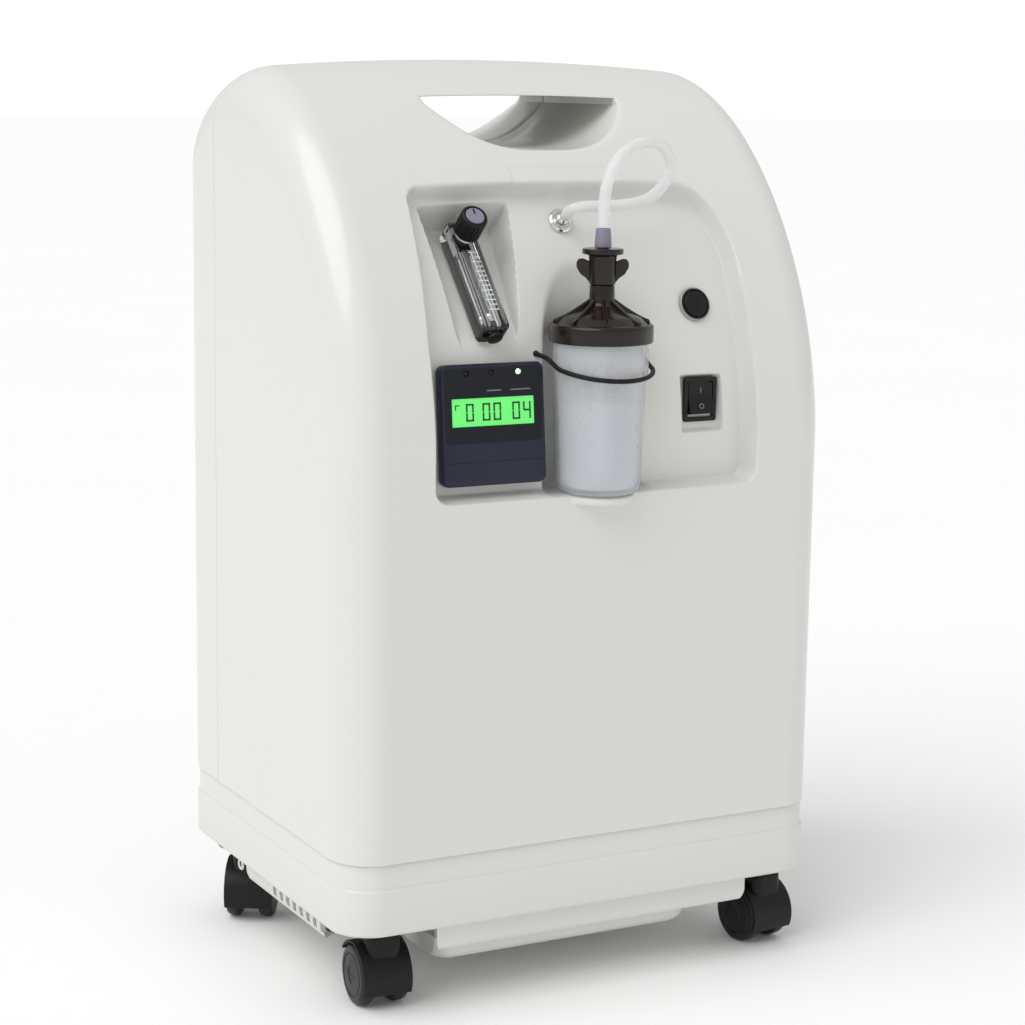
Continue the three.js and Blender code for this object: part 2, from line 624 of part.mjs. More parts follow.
// ---------------------------------------------------------------- humidifier
function buildHumidifier() {
  const { x, y, bottle, foot, floor, lidLow, lidHigh } = HUMIDIFIER;
  const unit = new THREE.Group();
  unit.position.set(x, y, 0);
  body.add(unit);
  const low = floor + GAP;
  const neck = lidLow + 8;
  add("humidifier_bottle", solidCopy(turned([
    [0, low + 2], [foot - 8, low], [foot - 2, low + 2.5], [foot, low + 8],
    [bottle - 0.6, lidLow - 6], [bottle - 1, lidLow + 1], [bottle - 1, neck], [bottle - 3, neck],
    [bottle - 3, lidLow - 6], [foot - 2, low + 8.5], [foot - 6, low + 5], [0, low + 4],
  ], 28)), MATERIAL.frosted, unit);

  const rim = 33;
  const nutLow = lidHigh + 24;
  let lid = solid(turned([
    [bottle - 0.7, lidLow], [rim, lidLow], [rim, lidHigh - 2], [rim - 2, lidHigh], [24, lidHigh + 4.5],
    [13, lidHigh + 8.5], [8.2, lidHigh + 12], [7.8, nutLow - GAP], [6.6, nutLow - GAP], [6.6, 474],
    [0, 474], [0, neck + 3],
    [bottle - 0.7, neck + 0.6], [bottle - 0.7, lidLow],
  ], 28));
  const ribs = 6;
  const ribOutline = outline([
    [7, lidHigh - 1], [31, lidHigh - 1], [30, lidHigh + 2.5], [16, lidHigh + 10], [7, lidHigh + 16],
  ]);
  for (let i = 0; i < ribs; i += 1) {
    lid = lid.add(solid(prismX(ribOutline, -1.1, 1.1).rotateZ((i / ribs) * Math.PI * 2)));
  }
  lid = lid.subtract(solid(cylinderZ(3.8, neck - 10, lidHigh + 2, 14)));
  addSolid("humidifier_lid", lid, MATERIAL.brown, unit);

  let nut = solid(turned([
    [6.9, nutLow], [8.4, nutLow], [8.8, 479.5], [13, 481], [13, 484.5], [4, 484.5], [4, 474.4],
    [6.9, 474.4], [6.9, nutLow],
  ], 20));
  const wing = outline([
    [7.6, nutLow + 0.5], [12, nutLow + 5], [16.5, 473], [16.5, 477], [14, 478.5], [7.6, 476.5],
  ]);
  for (const turn of [-28, 152]) {
    nut = nut.add(solid(prismY(wing, -1.8, 1.8).rotateZ(radians(turn))));
  }
  addSolid("lid_wing_nut", nut, MATERIAL.brown, unit);
  const adapter = turned([[0, 474.6], [3.7, 474.6], [3.7, 485], [5.4, 485], [4.6, 497], [0, 497]], 20);
  add("tube_adapter", solidCopy(adapter), MATERIAL.lilac, unit);
  const stem = turned([
    [0, low + 12], [5.5, low + 12], [5.5, low + 20], [3.5, low + 24], [3.5, lidHigh + 1], [0, lidHigh + 1],
  ], 14);
  add("bubbler_stem", solidCopy(stem), MATERIAL.clear, unit);
}

// The band starts and ends in the panel at the two sides of the bottle and crosses its front.
function buildBand() {
  const { x, y, bottle } = HUMIDIFIER;
  const radius = bottle + 2.1;
  const points = [];
  const dip = (a) => 411.5 - 7 * Math.sin(a);
  points.push(V(x - 37.5, panelY(418) - 0.9, 418));
  points.push(V(x - 34.5, y + 8, 416));
  for (let a = 8; a <= 172; a += 16.4) {
    const t = radians(a);
    points.push(V(x - radius * Math.cos(t), y - radius * Math.sin(t), dip(t)));
  }
  points.push(V(x + 34.5, y + 8, 416));
  points.push(V(x + 37.5, panelY(418) - 0.9, 418));
  const path = new THREE.CatmullRomCurve3(points, false, "centripetal");
  const ring = new THREE.Shape().absarc(0, 0, 1.5, 0, Math.PI * 2);
  add("elastic_band", new THREE.ExtrudeGeometry(ring, {
    steps: 28, extrudePath: path, curveSegments: 3, bevelEnabled: false,
  }), MATERIAL.rubber);
}

// ---------------------------------------------------------------- oxygen tube
// Leaves the outlet square to the panel, loops over to the right and drops on to the adapter.
const TUBE_ROUTE = [
  [-1, -90.7, 503.6], [0, -95.2, 506.4], [6, -99.3, 508.4], [18, -101, 509], [33, -101, 509.4],
  [47, -101.5, 511.5], [59, -102, 517.5], [65, -103, 526], [66.5, -105, 535], [62, -108, 543.5],
  [53, -112, 548.5], [41, -116.5, 549.5], [28, -121.5, 547], [17, -126, 541], [9, -129.5, 532.5],
  [4, -131.8, 522], [2.2, -132.5, 510], [2, -132.5, 497.4],
];

function buildTube() {
  const path = new THREE.CatmullRomCurve3(TUBE_ROUTE.map(([x, y, z]) => V(x, y, z)), false, "centripetal");
  const ring = new THREE.Shape().absarc(0, 0, TUBE_R, 0, Math.PI * 2);
  add("oxygen_tube", new THREE.ExtrudeGeometry(ring, {
    steps: 30, extrudePath: path, curveSegments: 4, bevelEnabled: false,
  }), MATERIAL.silicone);
}

// ---------------------------------------------------------------- inside the cabinet
function buildInside() {
  const deckTop = 112;
  add("chassis_deck", block(-160, 160, -122, 118, deckTop - 3, deckTop), MATERIAL.steel);

  let motor = solid(cylinderX(52, -48, 48, 28).translate(0, -30, deckTop + 68));
  motor = motor.add(solid(block(-44, 44, -76, 16, deckTop + GAP, deckTop + 30)));
  addSolid("compressor_body", motor, MATERIAL.alloy);
  for (const [side, sign] of [["left", -1], ["right", 1]]) {
    const x0 = sign > 0 ? 48 + GAP : -90 - GAP;
    let head = solid(block(x0, x0 + 42, -64, 4, deckTop + 34, deckTop + 118));
    for (let i = 0; i < 5; i += 1) {
      const z = deckTop + 62 + i * 11;
      head = head.subtract(solid(block(x0 - 1, x0 + 43, -70, -56, z, z + 4)));
    }
    addSolid(`compressor_head_${side}`, head, MATERIAL.alloy);
  }

  for (const [side, x] of [["left", -118], ["right", 118]]) {
    const bed = turned([
      [0, deckTop + GAP], [30, deckTop + GAP], [32, deckTop + 4], [32, 388], [30, 392], [8, 392],
      [8, 403.7], [0, 403.7],
    ], 24);
    add(`sieve_bed_${side}`, solidCopy(bed).translate(x, 62, 0), MATERIAL.alloy);
  }
  add("product_tank", solidCopy(turned([[0, 0], [20, 3], [26, 12], [26, 150], [20, 159], [0, 162]], 24))
    .translate(0, 72, deckTop + GAP), MATERIAL.steel);
  add("valve_block", block(-126, 126, 44, 80, 404, 430), MATERIAL.alloy);

  const fanZ = 290;
  let frame = solid(block(-60, 60, -60, 30, fanZ - 13, fanZ + 13));
  const bore = solid(cylinderZ(41, fanZ - 20, fanZ + 20, 32).translate(0, -15, 0));
  frame = frame.subtract(bore).add(solid(block(-60, 60, -19, -11, fanZ - 13, fanZ - 9)));
  addSolid("fan_frame", frame, MATERIAL.black);
  let rotor = solid(cylinderZ(15, fanZ - 8, fanZ + 11, 24));
  for (let i = 0; i < 7; i += 1) {
    const blade = block(10, 38, -0.9, 0.9, fanZ - 6, fanZ + 10).translate(0, 0, -fanZ - 2);
    blade.rotateX(radians(35));
    rotor = rotor.add(solid(blade.translate(0, 0, fanZ + 2).rotateZ((i / 7) * Math.PI * 2)));
  }
  const rotorMesh = addSolid("fan_rotor", rotor, MATERIAL.grey);
  rotorMesh.position.set(0, -15, 0);

  let board = solid(block(-60, 60, -72, -70, 330, 400));
  const chips = [[-35, 345, 16, 24, 10], [0, 352, 22, 14, 8], [34, 380, 12, 12, 14], [-20, 384, 18, 8, 6]];
  for (const [cx, cz, w, h, thick] of chips) {
    board = board.add(solid(block(cx - w / 2, cx + w / 2, -70.5, -70 + thick, cz - h / 2, cz + h / 2)));
  }
  addSolid("control_board", board, MATERIAL.board);
}

// ---------------------------------------------------------------- build
buildShells();
buildRearDetails();
buildBase();
CASTERS.forEach(buildCaster);
buildDisplay();
buildFlowmeter();
buildOutlet();
buildBreaker();
buildSwitch();
buildHumidifier();
buildBand();
buildTube();
buildInside();

export default concentrator;
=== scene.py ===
"""Looks, light and camera of the oxygen concentrator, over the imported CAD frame.

Sizes are in millimetres in the cabinet's own frame: +Z up, the front faces -Y, and the cabinet's
centre stands CABINET_Y behind the row frame's origin. make() turns them into metres.
"""
import math
import bmesh
import bpy
import numpy as np
from mathutils import Matrix, Vector


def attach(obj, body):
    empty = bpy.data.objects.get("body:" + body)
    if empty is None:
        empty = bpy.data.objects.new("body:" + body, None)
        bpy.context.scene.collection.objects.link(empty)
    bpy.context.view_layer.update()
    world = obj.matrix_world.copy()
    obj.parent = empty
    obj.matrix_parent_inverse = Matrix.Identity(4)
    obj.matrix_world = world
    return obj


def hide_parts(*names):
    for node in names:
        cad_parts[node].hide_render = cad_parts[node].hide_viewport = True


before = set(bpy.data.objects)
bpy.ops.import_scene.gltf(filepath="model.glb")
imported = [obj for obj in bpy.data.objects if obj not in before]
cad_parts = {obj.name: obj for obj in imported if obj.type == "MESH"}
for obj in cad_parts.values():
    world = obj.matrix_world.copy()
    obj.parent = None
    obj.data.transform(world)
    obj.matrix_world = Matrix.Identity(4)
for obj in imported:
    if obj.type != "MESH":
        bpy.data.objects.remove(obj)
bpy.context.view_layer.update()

# ------------------------------------------------------------------ sizes of the CAD model
CABINET_Y = 12.24
WIDTH, DEPTH, HEIGHT = 351, 281, 600
EDGE_R = 28
CROWN = 4.3
GAP = 0.3
SKIRT_Z, RIDGE_Z, SEAM_Z = 58.7, 88.6, 105.6
BAND_INSET = 1.4
SPLIT_Y = 78
FRONT_CURVE = (185, 241, 1.784)
REAR_CURVE = (100, 67, 1.96)
PANEL_DEPTH = 16
PANEL_LOW, PANEL_HIGH, PANEL_LEFT, PANEL_RIGHT = 330, 524, -116.5, 117
HANDLE_HALF, HANDLE_LOW, HANDLE_RISE, HANDLE_HIGH = 72, 543, 30, 577
BOTTLE_X, BOTTLE_Y, BOTTLE_R, BOTTLE_FOOT = 2, -132.5, 31, 27
LID_LOW, LID_HIGH = 426, 438
NICHE_R = 36.5
FLOW_X, FLOW_W, FLOW_D, FLOW_L, FLOW_LEAN = -68, 18, 17, 84, math.radians(42)
FLOW_FOOT = (-116.2, 423)
FLOW_REACH = 92
DISPLAY_X, DISPLAY_Z, DISPLAY_W, DISPLAY_H, DISPLAY_T = -72.8, 376.6, 71.7, 75.4, 7
SWITCH_X, SWITCH_Z, POCKET_W, POCKET_H, POCKET_D = 84.3, 384, 30.5, 39, 5
BREAKER_X, BREAKER_Z, BREAKER_R = 85.6, 444.6, 10
OUTLET_X, OUTLET_Z, OUTLET_R = -1, 498, 8.4
TRAY_Z, DUCT_Z = 40, 24
FILTER_Z, FILTER_W, FILTER_H = 400, 150, 110
INLET_X, INLET_Z = 110, 150
WHEEL_R, WHEEL_TRAIL, STEM_TOP, WHEEL_SPACING, TREAD, CASTER_CLEAR = 20, 8, 50.5, 22.6, 11, 38
CASTERS = {
    "front_left": (-135.7, -104.5, -3),
    "front_right": (153.4, -107, 7),
    "rear_left": (-148.4, 86.8, -31),
    "rear_right": (153.7, 110, 4),
}
TUBE_R = 3.7
TUBE_ROUTE = [
    (-1, -90.7, 503.6), (0, -95.2, 506.4), (6, -99.3, 508.4), (18, -101, 509), (33, -101, 509.4),
    (47, -101.5, 511.5), (59, -102, 517.5), (65, -103, 526), (66.5, -105, 535), (62, -108, 543.5),
    (53, -112, 548.5), (41, -116.5, 549.5), (28, -121.5, 547), (17, -126, 541), (9, -129.5, 532.5),
    (4, -131.8, 522), (2.2, -132.5, 510), (2, -132.5, 497.4),
]


# ------------------------------------------------------------------ camera
def aim_camera(azimuth, elevation, roll, place, lens):
    """A camera at a place in metres that looks back along an azimuth and elevation in degrees."""
    a, e, r = math.radians(azimuth), math.radians(elevation), math.radians(roll)
    back = Vector((math.sin(a) * math.cos(e), -math.cos(a) * math.cos(e), math.sin(e)))
    right = Vector((math.cos(a), math.sin(a), 0))
    up = back.cross(right)
    right, up = right * math.cos(r) + up * math.sin(r), up * math.cos(r) - right * math.sin(r)
    data = bpy.data.cameras.new("camera")
    data.lens = lens
    data.sensor_width = 36
    data.clip_end = 50
    camera = bpy.data.objects.new("camera", data)
    bpy.context.scene.collection.objects.link(camera)
    camera.matrix_world = Matrix.Translation(place) @ Matrix((right, up, back)).transposed().to_4x4()
    bpy.context.scene.camera = camera


aim_camera(-27.95, 10.08, 0.816, (-0.7692, -1.4581, 0.5903), 86.42)


# ------------------------------------------------------------------ materials
def shader(name):
    """A new material with its node tree, Principled shader and object coordinates."""
    material = bpy.data.materials.new(name)
    material.use_nodes = True
    tree = material.node_tree
    principled = tree.nodes["Principled BSDF"]
    place = tree.nodes.new("ShaderNodeTexCoord").outputs["Object"]
    return material, tree, principled, place


def noise(tree, place, scale, detail=3.0, roughness=0.55):
    node = tree.nodes.new("ShaderNodeTexNoise")
    node.inputs["Scale"].default_value = scale
    node.inputs["Detail"].default_value = detail
    node.inputs["Roughness"].default_value = roughness
    tree.links.new(place, node.inputs["Vector"])
    return node.outputs["Fac"]


def spread(tree, value, low, high, start=0.1, end=0.9):
    """Maps a noise value onto a range."""
    node = tree.nodes.new("ShaderNodeMapRange")
    node.inputs["From Min"].default_value = start
    node.inputs["From Max"].default_value = end
    node.inputs["To Min"].default_value = low
    node.inputs["To Max"].default_value = high
    tree.links.new(value, node.inputs["Value"])
    return node.outputs["Result"]


def two_tone(tree, value, low, high):
    """Blends two colours by a value."""
    node = tree.nodes.new("ShaderNodeMix")
    node.data_type = "RGBA"
    node.inputs["A"].default_value = (*low, 1)
    node.inputs["B"].default_value = (*high, 1)
    tree.links.new(value, node.inputs["Factor"])
    return node.outputs["Result"]


def bump(tree, principled, height, strength, distance):
    node = tree.nodes.new("ShaderNodeBump")
    node.inputs["Strength"].default_value = strength
    node.inputs["Distance"].default_value = distance
    tree.links.new(height, node.inputs["Height"])
    tree.links.new(node.outputs["Normal"], principled.inputs["Normal"])


def moulded(name, color, rough, tint=0.04, grain=900, relief=0.08, mottle=6, **constants):
    """Moulded plastic, rubber or metal: slow colour drift, uneven gloss and a fine grain.

    Sizes of the patterns are in cycles per metre, and constants go to the shader's own sockets.
    """
    material, tree, principled, place = shader(name)
    drift = spread(tree, noise(tree, place, mottle), 0, 1)
    low = [channel * (1 - tint) for channel in color]
    high = [min(channel * (1 + tint), 1) for channel in color]
    tree.links.new(two_tone(tree, drift, low, high), principled.inputs["Base Color"])
    smear = spread(tree, noise(tree, place, mottle * 4, 2), rough * 0.88, rough * 1.14)
    tree.links.new(smear, principled.inputs["Roughness"])
    bump(tree, principled, noise(tree, place, grain, 2), relief, 0.0002)
    for socket, value in constants.items():
        principled.inputs[socket.replace("_", " ")].default_value = value
    return material


def wheel_rubber():
    """Satin black tread with fine turning lines and a little floor dust."""
    material, tree, principled, place = shader("wheel_black")
    dust = spread(tree, noise(tree, place, 60, 6), 0, 1, 0.45, 0.75)
    color = two_tone(tree, dust, (0.007, 0.007, 0.008), (0.026, 0.025, 0.024))
    tree.links.new(color, principled.inputs["Base Color"])
    tree.links.new(spread(tree, dust, 0.34, 0.62, 0, 1), principled.inputs["Roughness"])
    bump(tree, principled, noise(tree, place, 700, 3), 0.25, 0.0003)
    principled.inputs["Specular IOR Level"].default_value = 0.32
    return material


def brushed_metal(name, color, rough):
    """Metal with fine scratches along one direction."""
    material, tree, principled, place = shader(name)
    squeeze = tree.nodes.new("ShaderNodeMapping")
    squeeze.inputs["Scale"].default_value = (1, 1, 14)
    tree.links.new(place, squeeze.inputs["Vector"])
    scratches = noise(tree, squeeze.outputs["Vector"], 220, 5)
    tone = spread(tree, scratches, 0, 1)
    color_out = two_tone(tree, tone, [c * 0.86 for c in color], color)
    tree.links.new(color_out, principled.inputs["Base Color"])
    tree.links.new(spread(tree, scratches, rough * 0.7, rough * 1.4), principled.inputs["Roughness"])
    bump(tree, principled, scratches, 0.12, 0.0002)
    principled.inputs["Metallic"].default_value = 1
    return material


def clear(name, color, rough, ior, scale=120, alpha=1.0, transmission=1.0):
    """Smooth glass-like plastic with uneven clarity and faint handling marks."""
    material, tree, principled, place = shader(name)
    marks = noise(tree, place, scale, 2)
    tree.links.new(spread(tree, marks, rough * 0.85, rough * 1.2, 0, 1), principled.inputs["Roughness"])
    drift = spread(tree, noise(tree, place, scale / 3), 0, 1, 0, 1)
    color_out = two_tone(tree, drift, [c * 0.97 for c in color], color)
    tree.links.new(color_out, principled.inputs["Base Color"])
    principled.inputs["Transmission Weight"].default_value = transmission
    principled.inputs["IOR"].default_value = ior
    principled.inputs["Alpha"].default_value = alpha
    return material


def glowing(name, color, strength, rough=0.3):
    """A lit surface with a slightly uneven backlight."""
    material, tree, principled, place = shader(name)
    drift = spread(tree, noise(tree, place, 45, 2), 0, 1)
    tone = two_tone(tree, drift, [c * 0.88 for c in color], color)
    tree.links.new(tone, principled.inputs["Base Color"])
    tree.links.new(tone, principled.inputs["Emission Color"])
    principled.inputs["Emission Strength"].default_value = strength
    principled.inputs["Roughness"].default_value = rough
    return material


SHELL = moulded("shell_white", (0.70, 0.702, 0.668), 0.3, 0.012, 1400, 0.02, 5, Coat_Weight=0.35,
    Coat_Roughness=0.12)
BASE = moulded("base_white", (0.695, 0.695, 0.662), 0.36, 0.015, 1200, 0.03, 5, Coat_Weight=0.2,
    Coat_Roughness=0.2)
PAN = moulded("pan_white", (0.72, 0.72, 0.69), 0.5, 0.03, 900, 0.18, 8)
BLACK = moulded("black_plastic", (0.007, 0.007, 0.008), 0.3, 0.1, 1100, 0.1, 40, Specular_IOR_Level=0.3)
SATIN = moulded("satin_black", (0.006, 0.006, 0.007), 0.42, 0.12, 900, 0.15, 60, Specular_IOR_Level=0.28)
NAVY = moulded("navy_plastic", (0.011, 0.014, 0.034), 0.3, 0.06, 1000, 0.05, 30, Specular_IOR_Level=0.35)
NAVY_BAND = moulded("navy_gloss", (0.004, 0.005, 0.010), 0.16, 0.06, 1000, 0.02, 30,
    Specular_IOR_Level=0.35)
BROWN = moulded("brown_plastic", (0.012, 0.006, 0.005), 0.2, 0.1, 500, 0.04, 50, Specular_IOR_Level=0.4)
LILAC = moulded("lilac_plastic", (0.22, 0.21, 0.29), 0.4, 0.05, 700, 0.1, 60)
RUBBER = moulded("black_rubber", (0.006, 0.006, 0.006), 0.5, 0.1, 900, 0.2, 80, Specular_IOR_Level=0.25)
GREY = moulded("grey_plastic", (0.34, 0.345, 0.35), 0.4, 0.04, 900, 0.12, 30)
FOAM = moulded("dark_foam", (0.03, 0.03, 0.032), 0.9, 0.25, 260, 0.9, 120)
BOARD = moulded("circuit_green", (0.015, 0.11, 0.045), 0.4, 0.1, 400, 0.15, 90)
WHEEL = wheel_rubber()
STEEL = brushed_metal("plated_steel", (0.62, 0.63, 0.65), 0.28)
CHROME = moulded("nickel", (0.72, 0.72, 0.71), 0.13, 0.04, 900, 0.02, 20, Metallic=1)
ALLOY = brushed_metal("cast_alloy", (0.45, 0.46, 0.47), 0.5)
ACRYLIC = clear("clear_acrylic", (0.95, 0.97, 0.97), 0.03, 1.49)
SILICONE = clear("silicone", (0.93, 0.94, 0.94), 0.2, 1.41, 40, 0.7, 0.35)
BOTTLE = clear("frosted_bottle", (0.90, 0.92, 0.95), 0.26, 1.45, 30, 0.42, 0.3)
WATER = clear("water", (0.74, 0.79, 0.90), 0.12, 1.33, 30, 0.45, 0.3)
LCD = glowing("lcd_green", (0.13, 0.72, 0.15), 0.5)
LCD_INK = moulded("lcd_ink", (0.012, 0.075, 0.02), 0.4, 0.05, 800, 0.05, 40)
LAMP = glowing("lamp_green", (0.35, 1.0, 0.42), 4.0)
PRINT = moulded("white_print", (0.7, 0.72, 0.72), 0.5, 0.05, 800, 0.05, 60)
PRINT_GREY = moulded("grey_print", (0.16, 0.17, 0.20), 0.5, 0.05, 800, 0.05, 60)


# ------------------------------------------------------------------ mesh tools
def make(name, geometry, material, body, place=Matrix(), bevel=0, steps=3, smooth=True):
    """A piece from (vertices, faces) in millimetres, standing at a place in the cabinet's frame."""
    vertices, faces = geometry
    grown = [place @ Vector([float(c) for c in v]) for v in vertices]
    mesh = bpy.data.meshes.new(name)
    mesh.from_pydata([((v.x) / 1000, (v.y + CABINET_Y) / 1000, v.z / 1000) for v in grown], [], faces)
    mesh.validate()
    work = bmesh.new()
    work.from_mesh(mesh)
    bmesh.ops.remove_doubles(work, verts=work.verts, dist=1e-7)
    if all(edge.is_manifold for edge in work.edges):
        bmesh.ops.recalc_face_normals(work, faces=work.faces)
    for face in work.faces:
        face.smooth = smooth
    for edge in work.edges:
        edge.smooth = bool(bevel) or not edge.is_manifold or edge.calc_face_angle() < math.radians(38)
    work.to_mesh(mesh)
    work.free()
    mesh.materials.append(material)
    piece = bpy.data.objects.new(name, mesh)
    bpy.context.scene.collection.objects.link(piece)
    if bevel:
        cut = piece.modifiers.new("edges", "BEVEL")
        cut.width = bevel / 1000
        cut.segments = steps
        cut.limit_method = "ANGLE"
        cut.angle_limit = math.radians(28)
        cut.harden_normals = True
        cut.use_clamp_overlap = True
    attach(piece, body)
    return piece


def joined(*parts):
    """Several (vertices, faces) as one."""
    vertices, faces = [], []
    for part_vertices, part_faces in parts:
        start = len(vertices)
        vertices.extend(part_vertices)
        faces.extend([tuple(i + start for i in face) for face in part_faces])
    return vertices, faces


def moved(part, matrix):
    return [tuple(matrix @ Vector([float(c) for c in v])) for v in part[0]], part[1]


def lathe(profile, sides=64):
    """A profile of (radius, height) turned about Z. A radius of 0 is a point on the axis."""
    vertices, rings = [], []
    for radius, z in profile:
        if radius == 0:
            rings.append([len(vertices)] * sides)
            vertices.append((0, 0, z))
            continue
        rings.append(list(range(len(vertices), len(vertices) + sides)))
        for i in range(sides):
            angle = 2 * math.pi * i / sides
            vertices.append((radius * math.cos(angle), radius * math.sin(angle), z))
    faces = []
    for low, high in zip(rings, rings[1:]):
        for i in range(sides):
            j = (i + 1) % sides
            face = [low[i], low[j], high[j], high[i]]
            face = [v for k, v in enumerate(face) if v not in face[:k]]
            if len(face) > 2:
                faces.append(tuple(face))
    return vertices, faces


def rounded(points, radius=0.8, steps=3):
    """A profile with its inner corners rounded."""
    out = [points[0]]
    for before, corner, after in zip(points, points[1:], points[2:]):
        b, c, a = Vector(before), Vector(corner), Vector(after)
        reach = min(radius, (b - c).length * 0.45, (a - c).length * 0.45)
        if reach < 0.02:
            out.append(corner)
            continue
        start, end = c + (b - c).normalized() * reach, c + (a - c).normalized() * reach
        for i in range(steps + 1):
            t = i / steps
            point = start * (1 - t) ** 2 + c * 2 * t * (1 - t) + end * t**2
            out.append((point.x, point.y))
    return [*out, points[-1]]


def rounded_rectangle(width, height, radius, steps=8):
    points = []
    for sx, sy, start in ((1, -1, -90), (1, 1, 0), (-1, 1, 90), (-1, -1, 180)):
        for i in range(steps + 1):
            angle = math.radians(start + 90 * i / steps)
            points.append((
                sx * (width / 2 - radius) + radius * math.cos(angle),
                sy * (height / 2 - radius) + radius * math.sin(angle),
            ))
    return points


def prism(outline, low, high):
    """An outline in X and Y between two heights."""
    count = len(outline)
    vertices = [(x, y, low) for x, y in outline] + [(x, y, high) for x, y in outline]
    faces = [tuple(range(count - 1, -1, -1)), tuple(range(count, 2 * count))]
    faces += [(i, (i + 1) % count, count + (i + 1) % count, count + i) for i in range(count)]
    return vertices, faces


def box(x0, x1, y0, y1, z0, z1):
    return prism([(x0, y0), (x1, y0), (x1, y1), (x0, y1)], z0, z1)


def cylinder(radius, low, high, sides=48):
    return prism([
        (radius * math.cos(2 * math.pi * i / sides), radius * math.sin(2 * math.pi * i / sides))
        for i in range(sides)
    ], low, high)


def pillow(width, height, radius, levels, steps=8):
    """A stack of rounded rectangles, each (height, inset), closed at both ends."""
    rings = []
    for z, inset in levels:
        corner = max(radius - inset, 0.6)
        ring = rounded_rectangle(width - 2 * inset, height - 2 * inset, corner, steps)
        rings.append([(x, y, z) for x, y in ring])
    count = len(rings[0])
    vertices = [v for ring in rings for v in ring]
    faces = [tuple(range(count - 1, -1, -1)), tuple(range(len(vertices) - count, len(vertices)))]
    for k in range(len(rings) - 1):
        for i in range(count):
            j = (i + 1) % count
            faces.append((k * count + i, k * count + j, (k + 1) * count + j, (k + 1) * count + i))
    return vertices, faces


def tube(points, radius, sides=20):
    """A round tube along points, closed at both ends, whose section doesn't twist."""
    path = [Vector(p) for p in points]
    tangents = [(b - a).normalized() for a, b in zip([path[0], *path], [*path[1:], path[-1]])]
    tangents[0] = (path[1] - path[0]).normalized()
    side = tangents[0].orthogonal().normalized()
    vertices = []
    for point, tangent in zip(path, tangents):
        side = (side - tangent * side.dot(tangent)).normalized()
        across = tangent.cross(side)
        for i in range(sides):
            angle = 2 * math.pi * i / sides
            vertices.append(tuple(point + (side * math.cos(angle) + across * math.sin(angle)) * radius))
    faces = [tuple(range(sides - 1, -1, -1)), tuple(range(len(vertices) - sides, len(vertices)))]
    for k in range(len(path) - 1):
        for i in range(sides):
            j = (i + 1) % sides
            faces.append((k * sides + i, k * sides + j, (k + 1) * sides + j, (k + 1) * sides + i))
    return vertices, faces


def flowing(points, count):
    """A smooth centripetal curve through points, as evenly spaced points."""
    path = [Vector(p) for p in points]
    path = [path[0] * 2 - path[1], *path, path[-1] * 2 - path[-2]]
    dense = []
    for p0, p1, p2, p3 in zip(path, path[1:], path[2:], path[3:]):
        d0, d1, d2 = (max((b - a).length ** 0.5, 1e-4) for a, b in ((p0, p1), (p1, p2), (p2, p3)))
        t1 = ((p1 - p0) / d0 - (p2 - p0) / (d0 + d1) + (p2 - p1) / d1) * d1
        t2 = ((p2 - p1) / d1 - (p3 - p1) / (d1 + d2) + (p3 - p2) / d2) * d1
        for i in range(12):
            t = i / 12
            dense.append(
                p1 + t1 * t + (-3 * p1 + 3 * p2 - 2 * t1 - t2) * t**2 + (2 * p1 - 2 * p2 + t1 + t2) * t**3
            )
    dense.append(path[-2])
    lengths = np.cumsum([0, *((b - a).length for a, b in zip(dense, dense[1:]))])
    spaced = np.linspace(0, lengths[-1], count)
    return [
        Vector([float(np.interp(s, lengths, [p[axis] for p in dense])) for axis in range(3)])
        for s in spaced
    ]


# ------------------------------------------------------------------ oxygen tube
def build_tube():
    """The silicone tube leaves the outlet, loops to the right and drops on to the adapter."""
    route = flowing(TUBE_ROUTE, 150)
    piece = make("oxygen_tube_soft", tube(route, TUBE_R, 24), SILICONE, "cabinet")
    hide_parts("oxygen_tube")


build_tube()


# ------------------------------------------------------------------ cabinet surface
def smooth_step(value, low, high):
    t = np.clip((np.asarray(value, float) - low) / (high - low), 0, 1)
    return t * t * (3 - 2 * t)


def front_y(z):
    """Depth position of the cabinet's front at a height."""
    depth, height, power = FRONT_CURVE
    s = min(max((z - HEIGHT + height) / height, 0), 1)
    return -DEPTH / 2 + depth - depth * (1 - s**power) ** (1 / power)


def panel_y(z):
    return front_y(z) + PANEL_DEPTH


def panel_lean(z):
    return math.atan2(front_y(z + 5) - front_y(z - 5), 10)


def crown(x, z):
    """How far the rounded roof drops towards the sides."""
    return CROWN * smooth_step(z, 300, 600) * (np.asarray(x) / 130) ** 2


def graded(*stops):
    """Positions from the first stop to the last, where each stop is (place, spacing there)."""
    places, spacings = zip(*stops)
    values = [places[0]]
    while values[-1] < places[-1]:
        values.append(values[-1] + np.interp(values[-1], places, spacings))
    values = np.array(values)
    return places[0] + (values - places[0]) * (places[-1] - places[0]) / (values[-1] - places[0])


